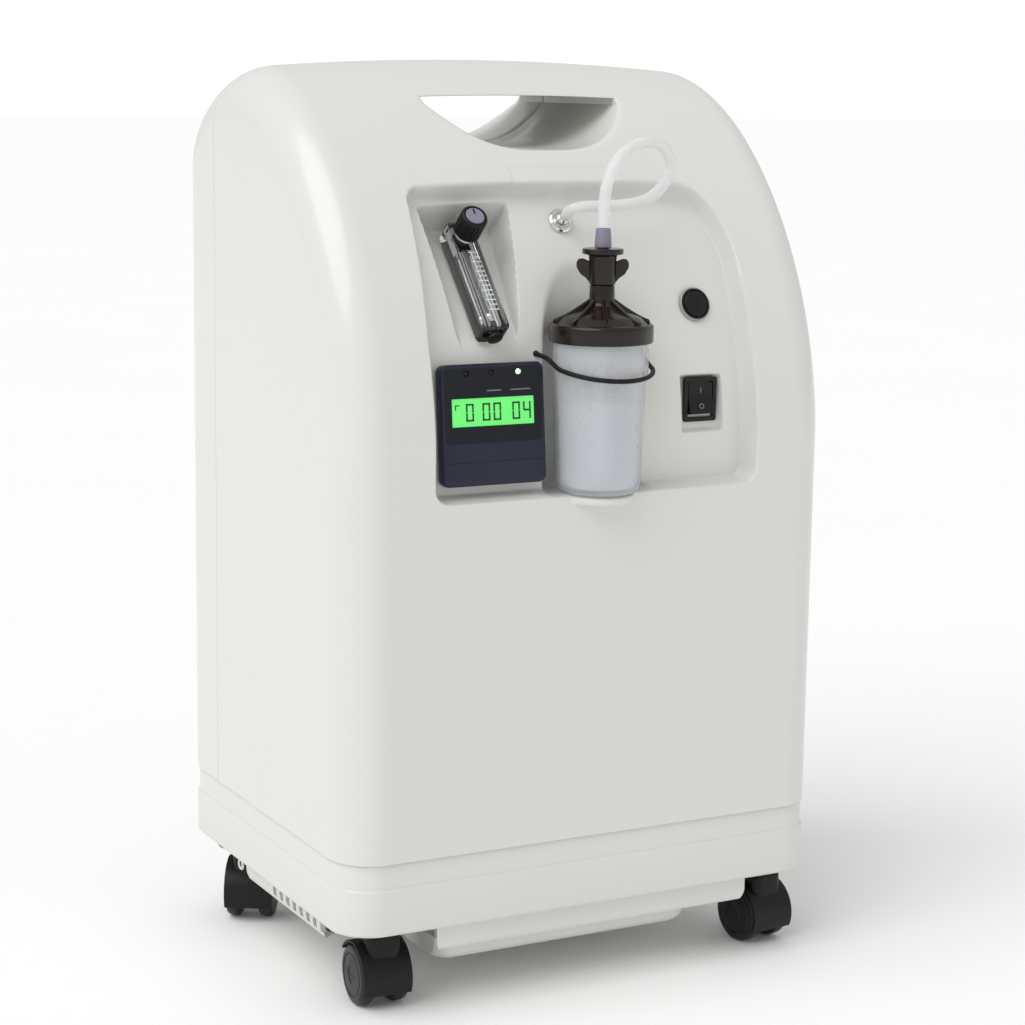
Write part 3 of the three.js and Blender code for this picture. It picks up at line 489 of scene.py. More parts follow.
def side_outline():
    """The cabinet's side view as dense points (y, z) from the front's foot over the roof to the
    rear's foot, their inward normals, and the distance along them."""
    t = np.linspace(0, math.pi / 2, 1400)
    depth, height, power = FRONT_CURVE
    front = np.c_[
        -DEPTH / 2 + depth - depth * np.cos(t) ** (2 / power),
        HEIGHT - height + height * np.sin(t) ** (2 / power),
    ]
    rear_depth, rear_height, rear_power = REAR_CURVE
    rear = np.c_[
        DEPTH / 2 - rear_depth + rear_depth * np.cos(t) ** (2 / rear_power),
        HEIGHT - rear_height + rear_height * np.sin(t) ** (2 / rear_power),
    ][::-1]
    rear = rear[rear[:, 0] > front[-1, 0] + 3]
    foot = SEAM_Z + GAP
    wall = np.arange(foot, front[0, 1] - 0.4, 0.5)
    back = np.arange(rear[-1, 1] - 0.5, foot, -0.5)
    points = np.r_[
        np.c_[np.full(len(wall), -DEPTH / 2), wall], front, rear,
        np.c_[np.full(len(back), DEPTH / 2), back], [[DEPTH / 2, foot]],
    ]
    steps = np.diff(points, axis=0)
    along = np.r_[0, np.cumsum(np.hypot(*steps.T))]
    tangent = np.gradient(points, along, axis=0)
    tangent /= np.hypot(*tangent.T)[:, None]
    inward = np.c_[tangent[:, 1], -tangent[:, 0]]
    return points, inward, along


OUTLINE, INWARD, ALONG = side_outline()
APEX = int(np.argmax(OUTLINE[:, 1]))


def on_outline(s, inset=0.0):
    """Points (y, z) and inward normals at distances along the side outline."""
    y, z, ny, nz = (np.interp(s, ALONG, column) for column in (*OUTLINE.T, *INWARD.T))
    size = np.hypot(ny, nz)
    return y + ny / size * inset, z + nz / size * inset, ny / size, nz / size


def front_s(z):
    """Distance along the outline at a height on the front."""
    return np.interp(z, OUTLINE[: APEX + 1, 1], ALONG[: APEX + 1])


def rear_s(z):
    """Distance along the outline at a height on the rear."""
    part = slice(APEX, None)
    return np.interp(z, OUTLINE[part, 1][::-1], ALONG[part][::-1])


def outline_distance(x, z, points):
    """Signed distance from a closed outline, negative inside."""
    x, z = np.asarray(x, float), np.asarray(z, float)
    nearest = np.full(x.shape, 1e9)
    inside = np.zeros(x.shape, bool)
    for (ax, az), (bx, bz) in zip(points, points[1:] + points[:1]):
        ex, ez = bx - ax, bz - az
        t = np.clip(((x - ax) * ex + (z - az) * ez) / (ex * ex + ez * ez + 1e-12), 0, 1)
        nearest = np.minimum(nearest, (x - ax - ex * t) ** 2 + (z - az - ez * t) ** 2)
        crosses = (az > z) != (bz > z)
        inside ^= crosses & (x < ex * (z - az) / (ez + 1e-12) + ax)
    return np.where(inside, -np.sqrt(nearest), np.sqrt(nearest))


def arc(cx, cz, radius, start, end, steps=12):
    angles = [math.radians(start + (end - start) * i / steps) for i in range(steps + 1)]
    return [(cx + radius * math.cos(a), cz + radius * math.sin(a)) for a in angles]


def panel_outline():
    """The control panel's edge, seen from the front."""
    left, right, low, high, corner = PANEL_LEFT, PANEL_RIGHT, PANEL_LOW, PANEL_HIGH, 10
    points = arc(left + corner, low + corner, corner, 180, 270)
    points += arc(right - corner, low + corner, corner, -90, 0)
    ends = [(right - 0.5, high - 46), (right - 3, high - 18), (right - 12, high), (right - 32, high)]
    for i in range(21):
        t = i / 20
        weights = ((1 - t) ** 3, 3 * t * (1 - t) ** 2, 3 * t * t * (1 - t), t**3)
        points.append(tuple(sum(w * p[k] for w, p in zip(weights, ends)) for k in (0, 1)))
    points += arc(left + 15, high - 10, 10, 90, 180)
    points.append((left, high - 95))
    return points


def soft_max(a, b, width):
    """The larger of two values, rounded over where they meet."""
    h = np.maximum(width - np.abs(a - b), 0) / width
    return np.maximum(a, b) + h * h * width / 4


def recess_depth(x, s):
    """How far the front is pressed in, square to its surface, at x and a distance up the outline."""
    y, z, ny, nz = on_outline(s)
    wall = 3.4
    shape = outline_distance(x, z, panel_outline())
    panel = PANEL_DEPTH * ny * smooth_step(-shape, 0, wall)

    from_axis = np.abs(x - BOTTLE_X)
    niche_y = BOTTLE_Y + np.sqrt(np.maximum(NICHE_R**2 - from_axis**2, 0))
    niche = (niche_y - y) / ny
    niche = np.minimum(niche, np.where(nz < -1e-3, (z - PANEL_LOW) / np.maximum(-nz, 1e-3), 1e3))
    niche = np.where(from_axis < NICHE_R, np.maximum(niche, 0), 0) * smooth_step(z, PANEL_LOW,
        PANEL_LOW + 1.8)

    back, up = math.sin(FLOW_LEAN), math.cos(FLOW_LEAN)
    foot_y, foot_z = FLOW_FOOT
    out = -up * (y - foot_y) + back * (z - foot_z)
    along = back * (y - foot_y) + up * (z - foot_z)
    meter = out / (up * ny - back * nz)
    drift = np.maximum(back * ny + up * nz, 0.02)
    meter = np.minimum(np.maximum(meter, 0), np.maximum(FLOW_REACH - along, 0) / drift + 60)
    rise = (z - 395) / 135
    left, right = FLOW_X - 17 - 16 * rise, FLOW_X + 19 + 15 * rise
    sides = smooth_step(x, left, left + 2.6) * (1 - smooth_step(x, right - 2.6, right))
    meter = meter * sides * smooth_step(FLOW_REACH - along, 0, 2.2)

    half_w, half_h = POCKET_W / 2, POCKET_H / 2
    pocket_x = smooth_step(np.abs(x - SWITCH_X), half_w - 1.2, half_w + 0.4)
    pocket_z = smooth_step(np.abs(z - SWITCH_Z), half_h - 1.2, half_h + 0.4)
    pocket = POCKET_D * (1 - pocket_x) * (1 - pocket_z)

    depth = soft_max(soft_max(panel, niche, 2.0), meter * (panel > 0.5), 2.0) + pocket
    depth = np.where(panel > 0.02, depth, 0)
    near_floor = soft_max(panel, niche, 2.0)
    depth = np.where((panel > 0.02) | (from_axis > NICHE_R), depth, near_floor * (z > PANEL_LOW))

    seat_r = 23 * smooth_step(z, PANEL_LOW - 15, PANEL_LOW - 4)
    reach = np.sqrt(np.maximum(seat_r**2 - from_axis**2, 0))
    bulge = np.maximum(-DEPTH / 2 - (BOTTLE_Y - reach), 0)
    return depth - bulge * (1 - smooth_step(z, PANEL_LOW - 0.6, PANEL_LOW + 0.6))


def soften(field, rounds):
    """Rounds the corners of a field over its grid."""
    for _ in range(rounds):
        padded = np.pad(field, 1, mode="edge")
        ring = padded[:-2, 1:-1] + padded[2:, 1:-1] + padded[1:-1, :-2] + padded[1:-1, 2:]
        field = 0.5 * field + 0.125 * ring
    return field


def handle_low(x, grow=0.0):
    """Height of the hand opening's lower edge, larger by a margin."""
    reach = min(abs(x) / (HANDLE_HALF + grow), 1)
    return HANDLE_LOW - grow + HANDLE_RISE * reach**3


HOLE_MARGIN = 2.4
FILLET_STEPS = 14


def station_columns(middle):
    """Columns across the cabinet as (x, inset): flat side, rounded edge, front, and mirrored."""
    edge = []
    for i in range(FILLET_STEPS):
        angle = math.radians(90 * i / FILLET_STEPS)
        edge.append((WIDTH / 2 - EDGE_R + EDGE_R * math.cos(angle), EDGE_R * (1 - math.sin(angle))))
    flat = [(WIDTH / 2, EDGE_R + extra) for extra in (9, 4, 1.5)]
    left = [(-x, inset) for x, inset in flat + edge]
    right = [(x, inset) for x, inset in reversed(flat + edge)]
    return left + [(float(x), 0.0) for x in middle] + right


def skin(columns, s_of, seam_y, flat_columns, recess=None, hole_rows=None):
    """A shell's outer skin as a grid of points [row, column].

    s_of(x) gives each row's distance along the outline, seam_y is where the shell meets the other
    one, and flat_columns are the fractions of the way from the rounded edge to the seam.
    """
    grid = []
    for x, inset in columns:
        s = s_of(x)
        y, z, _, _ = on_outline(s, inset)
        if inset > 0:
            dense_y, dense_z, _, _ = on_outline(ALONG, inset)
            crossing = np.nonzero(np.diff(np.sign(dense_y - seam_y)))[0]
            top = [i for i in crossing if dense_z[i] > 500]
            end = ALONG[top[0]]
            last = s[-1]
            stretched = np.where(s > last - 60, last - 60 + (s - last + 60) * (end - last + 60) / 60, s)
            y, z, _, _ = on_outline(stretched, inset)
            y[-1] = seam_y
        drop = crown(x, z)
        grid.append(np.c_[np.full(len(y), x), y, z - drop])
    grid = np.array(grid).transpose(1, 0, 2)
    if recess is not None:
        grid[..., 1] += recess[..., 0]
        grid[..., 2] += recess[..., 1]

    return flat_sides(grid, seam_y, flat_columns, 0.5)


def flat_sides(grid, seam_y, fractions, by_height):
    """Adds the flat sides, from the innermost ring of each rounded edge to the seam.

    by_height says how far the rows end level on the seam, rather than evenly spaced along it.
    """
    sides = []
    for first, sign in ((grid[:, 0], -1), (grid[:, -1], 1)):
        rise = (first[:, 2] - first[0, 2]) / (first[-1, 2] - first[0, 2])
        rise = np.maximum.accumulate(np.clip(rise, 0, 1))
        length = np.r_[0, np.cumsum(np.linalg.norm(np.diff(first, axis=0), axis=1))]
        share = by_height * rise + (1 - by_height) * length / length[-1]
        target = np.c_[
            np.full(len(first), sign * WIDTH / 2), np.full(len(first), seam_y),
            first[0, 2] + share * (first[-1, 2] - first[0, 2]),
        ]
        sides.append(np.array([first * (1 - f) + target * f for f in fractions]).transpose(1, 0, 2))
    return np.concatenate([sides[0][:, ::-1], grid, sides[1]], axis=1)


def grid_faces(rows, columns, skip=None):
    index = np.arange(rows * columns).reshape(rows, columns)
    quads = np.stack([index[:-1, :-1], index[:-1, 1:], index[1:, 1:], index[1:, :-1]], axis=-1)
    if skip is not None:
        quads = quads[~skip]
    return [tuple(int(i) for i in quad) for quad in quads.reshape(-1, 4)]


def rim(vertices, faces, loop, offsets):
    """Continues a skin from a loop of its points, through rows of offsets from each point."""
    before = list(loop)
    for offset in offsets:
        now = list(range(len(vertices), len(vertices) + len(loop)))
        vertices.extend(tuple(np.array(vertices[i]) + offset(k, i)) for k, i in enumerate(loop))
        for k in range(len(loop) - 1):
            if before[k] != before[k + 1]:
                faces.append((before[k], before[k + 1], now[k + 1], now[k]))
        before = now


def opening_wall(vertices, faces, loop, seam_y, direction):
    """Lines the hand opening: a rounded edge, then a wall along Y to the seam."""
    rows = []
    for index in loop:
        start = np.array(vertices[index], float)
        x = float(np.clip(start[0], -HANDLE_HALF, HANDLE_HALF))
        low = handle_low(x)
        middle = (low + HANDLE_HIGH) / 2
        z = low if start[2] < middle - 0.5 * (HANDLE_HIGH - low) - 0.4 else HANDLE_HIGH
        if abs(start[0]) > HANDLE_HALF:
            share = np.clip((start[2] - low + 2) / (HANDLE_HIGH - low + 2), 0, 1)
            z = low + share * (HANDLE_HIGH - low)
        s = front_s(z) if direction > 0 else rear_s(z)
        y, _, _, _ = on_outline(s)
        edge = np.array([x, y, z - crown(x, z)])
        wall = edge + [0, 3.2 * direction, 0]
        curve = [start * (1 - t) ** 2 + edge * 2 * t * (1 - t) + wall * t * t for t in (0.25, 0.5, 0.75, 1)]
        end = np.array([x, seam_y - 0.8 * direction, edge[2]])
        curve += [wall + (end - wall) * t for t in (0.2, 0.4, 0.6, 0.8, 1)]
        centre = np.array([0, seam_y, (HANDLE_LOW + HANDLE_HIGH) / 2])
        outward = np.array([edge[0] - centre[0], 0, edge[2] - centre[2]])
        outward /= np.linalg.norm(outward)
        curve.append(end + [0, 0.8 * direction, 0] + 0.7 * outward)
        curve.append(end + [0, 0.8 * direction, 0] + 3.0 * outward)
        rows.append(curve)
    before = list(loop)
    for step in range(len(rows[0])):
        now = list(range(len(vertices), len(vertices) + len(loop)))
        vertices.extend(tuple(row[step]) for row in rows)
        for k in range(len(loop)):
            j = (k + 1) % len(loop)
            faces.append((before[k], before[j], now[j], now[k]))
        before = now


def hole_loop(rows, columns, first_row, last_row, first_column, last_column):
    """Indices round a rectangle of grid points."""
    at = lambda r, c: r * columns + c
    loop = [at(first_row, c) for c in range(first_column, last_column)]
    loop += [at(r, last_column) for r in range(first_row, last_row)]
    loop += [at(last_row, c) for c in range(last_column, first_column, -1)]
    loop += [at(r, first_column) for r in range(last_row, first_row, -1)]
    return loop


def seam_rims(vertices, faces, rows, columns, direction):
    """Turns the skin in at the seam between the shells and at its foot."""
    at = lambda r, c: r * columns + c
    seam = [at(r, 0) for r in range(rows)] + [at(rows - 1, c) for c in range(1, columns - 1)]
    seam += [at(r, columns - 1) for r in range(rows - 1, -1, -1)]

    def inwards(k, i):
        x, _, z = vertices[i]
        toward = np.array([-x, 0, 330 - z]) if abs(x) < WIDTH / 2 - 0.01 else np.array([-x, 0, 0])
        return toward / np.linalg.norm(toward)

    lip = [
        lambda k, i: inwards(k, i) * 0.35 + [0, 0.25 * direction, 0],
        lambda k, i: inwards(k, i) * 0.9 + [0, 0.35 * direction, 0],
        lambda k, i: inwards(k, i) * 4 + [0, 0.35 * direction, 0],
    ]
    rim(vertices, faces, seam, lip)

    foot = [at(0, c) for c in range(columns)]
    def inside(k, i):
        x, y, _ = vertices[i]
        toward = np.array([-x, -y, 0.0])
        return toward / np.linalg.norm(toward)

    rim(vertices, faces, foot, [
        lambda k, i: inside(k, i) * 0.3 + [0, 0, -0.15],
        lambda k, i: inside(k, i) * 0.9 + [0, 0, -0.2],
        lambda k, i: inside(k, i) * 6 + [0, 0, -0.2],
    ])


def reach_hole(middle):
    """Moves the columns nearest to the hand opening's sides to stand a margin outside it."""
    for side in (-1, 1):
        nearest = int(np.argmin(np.abs(middle - side * (HANDLE_HALF + HOLE_MARGIN))))
        middle[nearest] = side * (HANDLE_HALF + HOLE_MARGIN)


def distance_to_seam(seam_y):
    return ALONG[APEX] + np.interp(seam_y, OUTLINE[APEX:, 0], ALONG[APEX:] - ALONG[APEX])


def shell_rows(x, lower, counts, seam_s, height_s, ease):
    """Rows up a shell as distances along the outline: the wall, past the hand opening, the roof."""
    rim_rows, gap_rows, roof_rows = counts
    low = handle_low(x, HOLE_MARGIN)
    up_to_hole = lower[-1] + (low - lower[-1]) * (np.arange(1, rim_rows + 1) / rim_rows)
    high = HANDLE_HIGH + 1.6
    across = low + (high - low) * np.arange(1, gap_rows + 1) / gap_rows
    start = height_s(high)
    t = np.arange(1, roof_rows + 1) / roof_rows
    roof = start + (seam_s - start) * ((1 - ease) * t + ease * t * t * (3 - 2 * t))
    return np.r_[height_s(np.r_[lower, up_to_hole, across]), roof]


def close_shell(name, grid, xs, flat_count, first_row, gap_rows, direction, windows=()):
    """Cuts the hand opening and any windows out of a skin, lines it and turns its edges in."""
    rows, width = grid.shape[:2]
    last_row = first_row + gap_rows
    inside = [i for i, x in enumerate(xs) if abs(x) <= HANDLE_HALF + HOLE_MARGIN + 1e-6]
    first_column, last_column = inside[0] + flat_count, inside[-1] + flat_count
    skip = np.zeros((rows - 1, width - 1), bool)
    skip[first_row:last_row, first_column:last_column] = True
    centre = (grid[:-1, :-1] + grid[1:, 1:]) / 2
    for x, z, w, h in windows:
        skip |= (abs(centre[..., 0] - x) < w / 2) & (abs(centre[..., 2] - z) < h / 2) & (centre[...,
            1] > 130)
    vertices = [tuple(v) for v in grid.reshape(-1, 3)]
    faces = grid_faces(rows, width, skip)
    seam_rims(vertices, faces, rows, width, direction)
    loop = hole_loop(rows, width, first_row, last_row, first_column, last_column)
    opening_wall(vertices, faces, loop, SPLIT_Y - direction * GAP / 2, direction)
    piece = make(f"{name}_skin", (vertices, faces), SHELL, "cabinet")
    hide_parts(name)


def build_front_shell():
    fine = 0.62
    middle = graded(
        (-147.5, 3), (-124, 3), (-120, fine), (-107, fine), (-101, 0.9), (-82, 0.9), (-74, 1.6), (-58, 1.6),
        (-52, 0.9), (-37, 0.7), (-27, 0.8), (-22, 1.4), (26, 1.4), (31, 0.8), (41, 0.7), (47, 1.6), (64,
            1.6),
        (67, fine), (71, fine), (75, 1.6), (94, 1.6), (97, fine), (102, fine), (106, 0.9), (109, fine),
        (119, fine), (124, 3), (147.5, 3),
    )
    lower = graded(
        (SEAM_Z + GAP, 0.8), (108, 3), (116, 8), (300, 7), (311, 2), (317, 1.2), (326, 0.6), (334, 0.5),
        (340, 1.3), (360, 1.5), (363, 0.7), (367, 0.7), (371, 1.6), (397, 1.6), (401, 0.7), (405, 0.7),
        (409, 1.4), (500, 1.3), (508, 0.8), (526, 0.7), (533, 1.6),
    )
    counts = rim_rows, gap_rows, _ = 9, 6, 34
    seam_y = SPLIT_Y - GAP / 2 - 0.35
    seam_s = distance_to_seam(seam_y)
    reach_hole(middle)

    def rows_at(x):
        return shell_rows(x, lower, counts, seam_s, front_s, 0.4)

    columns = station_columns(middle)
    flats = 1 - (1 - np.arange(1, 15) / 14) ** 1.4
    xs = np.array([x for x, _ in columns])
    s_grid = np.array([rows_at(x) for x in xs]).T
    depth = recess_depth(np.broadcast_to(xs, s_grid.shape).ravel(), s_grid.ravel()).reshape(s_grid.shape)
    depth[:, np.abs(xs) > 140] = 0
    depth[len(lower):] = 0
    depth = soften(depth, 2)
    _, _, ny, nz = on_outline(s_grid)
    recess = np.stack([depth * ny, depth * nz], axis=-1)
    grid = skin(columns, rows_at, seam_y, flats, recess)
    close_shell("front_shell", grid, xs, len(flats), len(lower) + rim_rows - 1, gap_rows, 1)


def build_rear_shell():
    middle = graded((-147.5, 4), (-80, 4), (-76, 2), (-70, 4), (70, 4), (76, 2), (80, 4), (147.5, 4))
    reach_hole(middle)
    lower = graded((SEAM_Z + GAP, 0.8), (108, 3), (116, 6), (136, 4), (164, 4), (340, 6), (348, 2), (452,
        2), (460, 5), (533, 3))
    counts = rim_rows, gap_rows, _ = 5, 6, 22
    seam_y = SPLIT_Y + GAP / 2 + 0.35
    seam_s = distance_to_seam(seam_y)

    # The rear is drawn as a mirrored outline, from its foot up to the seam.
    def rows_at(x):
        return shell_rows(x, lower, counts, seam_s, rear_s, 0)

    columns = station_columns(middle)
    grid = []
    for x, inset in columns:
        s = rows_at(x)
        if inset > 0:
            dense_y, dense_z, _, _ = on_outline(ALONG, inset)
            top = [i for i in np.nonzero(np.diff(np.sign(dense_y - seam_y)))[0] if dense_z[i] > 500]
            end = ALONG[top[0]]
            s = np.where(s < seam_s + 50, seam_s + 50 + (s - seam_s - 50) * (seam_s + 50 - end) / 50, s)
        y, z, _, _ = on_outline(s, inset)
        y[-1] = seam_y
        grid.append(np.c_[np.full(len(y), x), y, z - crown(x, z)])
    grid = np.array(grid).transpose(1, 0, 2)
    flats = 1 - (1 - np.arange(1, 7) / 6) ** 1.4
    grid = flat_sides(grid, seam_y, flats, 0)
    xs = np.array([x for x, _ in columns])
    windows = ((0, FILTER_Z, FILTER_W, FILTER_H), (INLET_X, INLET_Z, 28.4, 20.4))
    close_shell("rear_shell", grid, xs, len(flats), len(lower) + rim_rows - 1, gap_rows, -1, windows)


build_front_shell()
build_rear_shell()


# ------------------------------------------------------------------ carving
def carve(name, geometry, cutters, material, body, place=Matrix(), bevel=0, steps=3, smooth=True):
    """A piece with solids cut out of it. Cutters are (vertices, faces) in the same frame."""
    work = bpy.data.objects.new(name + "_work", raw_mesh(geometry))
    bpy.context.scene.collection.objects.link(work)
    tools = []
    for cutter in cutters:
        tool = bpy.data.objects.new(name + "_cutter", raw_mesh(cutter))
        bpy.context.scene.collection.objects.link(tool)
        modifier = work.modifiers.new("cut", "BOOLEAN")
        modifier.operation = "DIFFERENCE"
        modifier.solver = "EXACT"
        modifier.object = tool
        tools.append(tool)
    evaluated = work.evaluated_get(bpy.context.evaluated_depsgraph_get())
    result = evaluated.to_mesh()
    vertices = [tuple(v.co * 1000) for v in result.vertices]
    faces = [tuple(polygon.vertices) for polygon in result.polygons]
    evaluated.to_mesh_clear()
    for extra in (work, *tools):
        bpy.data.objects.remove(extra)
    return make(name, (vertices, faces), material, body, place, bevel, steps, smooth)


def raw_mesh(geometry):
    mesh = bpy.data.meshes.new("raw")
    mesh.from_pydata([[c / 1000 for c in v] for v in geometry[0]], [], geometry[1])
    work = bmesh.new()
    work.from_mesh(mesh)
    bmesh.ops.recalc_face_normals(work, faces=work.faces)
    work.to_mesh(mesh)
    work.free()
    return mesh


def stands_for(piece, node):
    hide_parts(node)
    return piece


ALONG_X = Matrix(((0, 0, 1, 0), (1, 0, 0, 0), (0, 1, 0, 0), (0, 0, 0, 1)))
ALONG_Y = Matrix(((1, 0, 0, 0), (0, 0, -1, 0), (0, 1, 0, 0), (0, 0, 0, 1)))


def at(x=0, y=0, z=0):
    return Matrix.Translation((x, y, z))


def turn(degrees, axis):
    return Matrix.Rotation(math.radians(degrees), 4, axis)


# ------------------------------------------------------------------ base
def build_base():
    """The skirt under the shells: a flush lower band, a lit ridge, and a set-in upper band."""
    inset = BAND_INSET
    levels = [
        (SKIRT_Z + 1.2, 7), (SKIRT_Z, 6), (SKIRT_Z, 2.6), (SKIRT_Z + 0.3, 1.3), (SKIRT_Z + 1.1, 0.4),
        (SKIRT_Z + 2.6, 0), (RIDGE_Z - 0.8, 0), (RIDGE_Z - 0.1, 0.12), (RIDGE_Z + 0.5, 0.5),
        (RIDGE_Z + 0.9, inset - 0.1), (RIDGE_Z + 1.6, inset), (SEAM_Z - 0.7, inset), (SEAM_Z - 0.2,
            inset + 0.2),
        (SEAM_Z, inset + 0.7), (SEAM_Z, 6), (SEAM_Z - 1.2, 7),
    ]
    skirt = make("base_skirt_skin", pillow(WIDTH, DEPTH, EDGE_R, levels, 18), BASE, "cabinet")
    stands_for(skirt, "base_skirt")

    top = SKIRT_Z - GAP
    tray = pillow(330, 262, 22, [
        (TRAY_Z, 4.5), (TRAY_Z + 0.5, 3.2), (TRAY_Z + 1.6, 2), (TRAY_Z + 5, 0.6), (TRAY_Z + 8, 0), (top, 0),
    ], 10)
    duct = moved(pillow(206, 240, 22, [
        (DUCT_Z, 11.5), (DUCT_Z + 0.6, 10), (DUCT_Z + 1.8, 8.4), (DUCT_Z + 4, 6.2), (DUCT_Z + 8,
            5.2), (TRAY_Z + 4, 3),
    ], 10), at(-3, 4, 0))
    wells = [moved(cylinder(CASTER_CLEAR, 0, 80, 64), at(x, y)) for x, y, _ in CASTERS.values()]
    slots, backs = [], []
    for i in range(8):
        y = -77 + i * 11.3
        slots.append(box(-172, -160, y - 2.8, y + 2.8, TRAY_Z + 4.5, top - 2.4))
        backs.append(box(-160.5, -159.9, y - 2.7, y + 2.7, TRAY_Z + 4.8, top - 2.6))
    pan = carve("underbody_tray", tray, wells + slots, PAN, "cabinet", bevel=0.8)
    stands_for(pan, "underbody_pan")
    low = carve("underbody_duct", duct, wells, PAN, "cabinet", bevel=0.8)

    make("louvre_shadow", joined(*backs), SATIN, "cabinet")
    ring = lathe(rounded([(2.2, 0), (4.4, 0), (4.4, 1.0), (3.4, 1.8), (2.2, 1.2), (2.2, 0)], 0.3), 32)
    bolt = lathe(rounded([(0, 0), (2.1, 0), (2.1, 0.8), (0, 0.9)], 0.3), 32)
    side = at(-165.3, 60, 50) @ turn(-90, "Y")
    stud = make("tray_stud_ring", ring, BASE, "cabinet", side)
    make("tray_stud", bolt, SATIN, "cabinet", side)


# ------------------------------------------------------------------ casters
def build_caster(name, x, y, heading):
    place = at(x, y) @ turn(heading, "Z")
    hub = at(0, WHEEL_TRAIL, WHEEL_R)
    width = WHEEL_SPACING + TREAD
    body = f"caster_{name}"

    canopy = arc(0, 0, WHEEL_R + 2.5, 35, 205, 40) + arc(0, 0, WHEEL_R + 0.9, 205, 35, 40)
    web = [(0, -6)] + arc(0, 0, WHEEL_R + 2, 35, 205, 40)
    hood = joined(
        moved(prism(canopy, -width / 2, width / 2), hub @ ALONG_X),
        moved(prism(web, -4.6, 4.6), hub @ ALONG_X),
        moved(cylinder(6, -4.7, 4.7, 32), hub @ ALONG_X),
        cylinder(5.5, STEM_TOP - 1, 74, 24),
    )
    block = moved(pillow(23, 22, 6, [
        (28, 0), (STEM_TOP - 3, 0), (STEM_TOP - 1.6, 0.5), (STEM_TOP - 0.4, 1.6), (STEM_TOP, 2.4),
    ]), at(0, 2))
    room = [moved(cylinder(WHEEL_R + 0.9, low, low + 40, 64), hub @ ALONG_X) for low in (-44.6, 4.6)]
    carve(f"{body}_block", block, room, SATIN, body, place, bevel=0.6)
    piece = make(f"{body}_canopy", hood, SATIN, body, place, bevel=0.7)
    stands_for(piece, f"{body}_hood")

    pin = lathe(rounded([(0, -14), (3, -14), (3, 14), (0, 14)], 0.4), 24)
    stands_for(make(f"{body}_pin", pin, STEEL, body, place @ hub @ ALONG_X), f"{body}_axle")

    tread = TREAD / 2
    profile = rounded([
        (3.3, -tread), (WHEEL_R - 3, -tread), (WHEEL_R - 0.6, -3.6), (WHEEL_R, -2), (WHEEL_R, 2.2),
        (WHEEL_R - 1, 4.6), (WHEEL_R - 3, 5.4), (14.6, 5.5), (14.3, 4.9), (13.6, 4.9), (13.3, 5.4), (6,
            5.5),
        (5.6, 5.0), (0, 5.2),
    ], 0.7)
    for side, sign in (("left", -1), ("right", 1)):
        facing = turn(0 if sign > 0 else 180, "Z") @ turn(90, "Y")
        spot = place @ at(sign * WHEEL_SPACING / 2, WHEEL_TRAIL, WHEEL_R) @ facing
        wheel = lathe([(0, -tread + 2.4), (3.3, -tread + 2.4), *profile], 72)
        piece = make(f"{body}_tyre_{side}", wheel, WHEEL, f"{body}_wheel_{side}", spot)
        stands_for(piece, f"{body}_wheel_{side}")


# ------------------------------------------------------------------ control panel
def on_panel(x, z, lift=0.0):
    """A frame on the panel's floor: its Z points out and its Y points up the panel."""
    lean = panel_lean(z)
    y = panel_y(z) - lift * math.cos(lean)
    return at(x, y, z + lift * math.sin(lean)) @ Matrix.Rotation(math.pi / 2 - lean, 4, "X")


def digit(character, x, y, width, height, stroke):
    """A seven-segment digit as flat bars."""
    half = height / 2
    gap = stroke * 0.16
    bars = {
        "a": (x + gap, x + width - gap, y + height - stroke, y + height),
        "b": (x + width - stroke, x + width, y + half + gap, y + height - gap),
        "c": (x + width - stroke, x + width, y + gap, y + half - gap),
        "d": (x + gap, x + width - gap, y, y + stroke),
        "e": (x, x + stroke, y + gap, y + half - gap),
        "f": (x, x + stroke, y + half + gap, y + height - gap),
        "g": (x + gap, x + width - gap, y + half - stroke / 2, y + half + stroke / 2),
    }
    lit = {"0": "abcdef", "4": "bcfg"}[character]
    return [box(*bars[k], 0, 0.12) for k in lit]


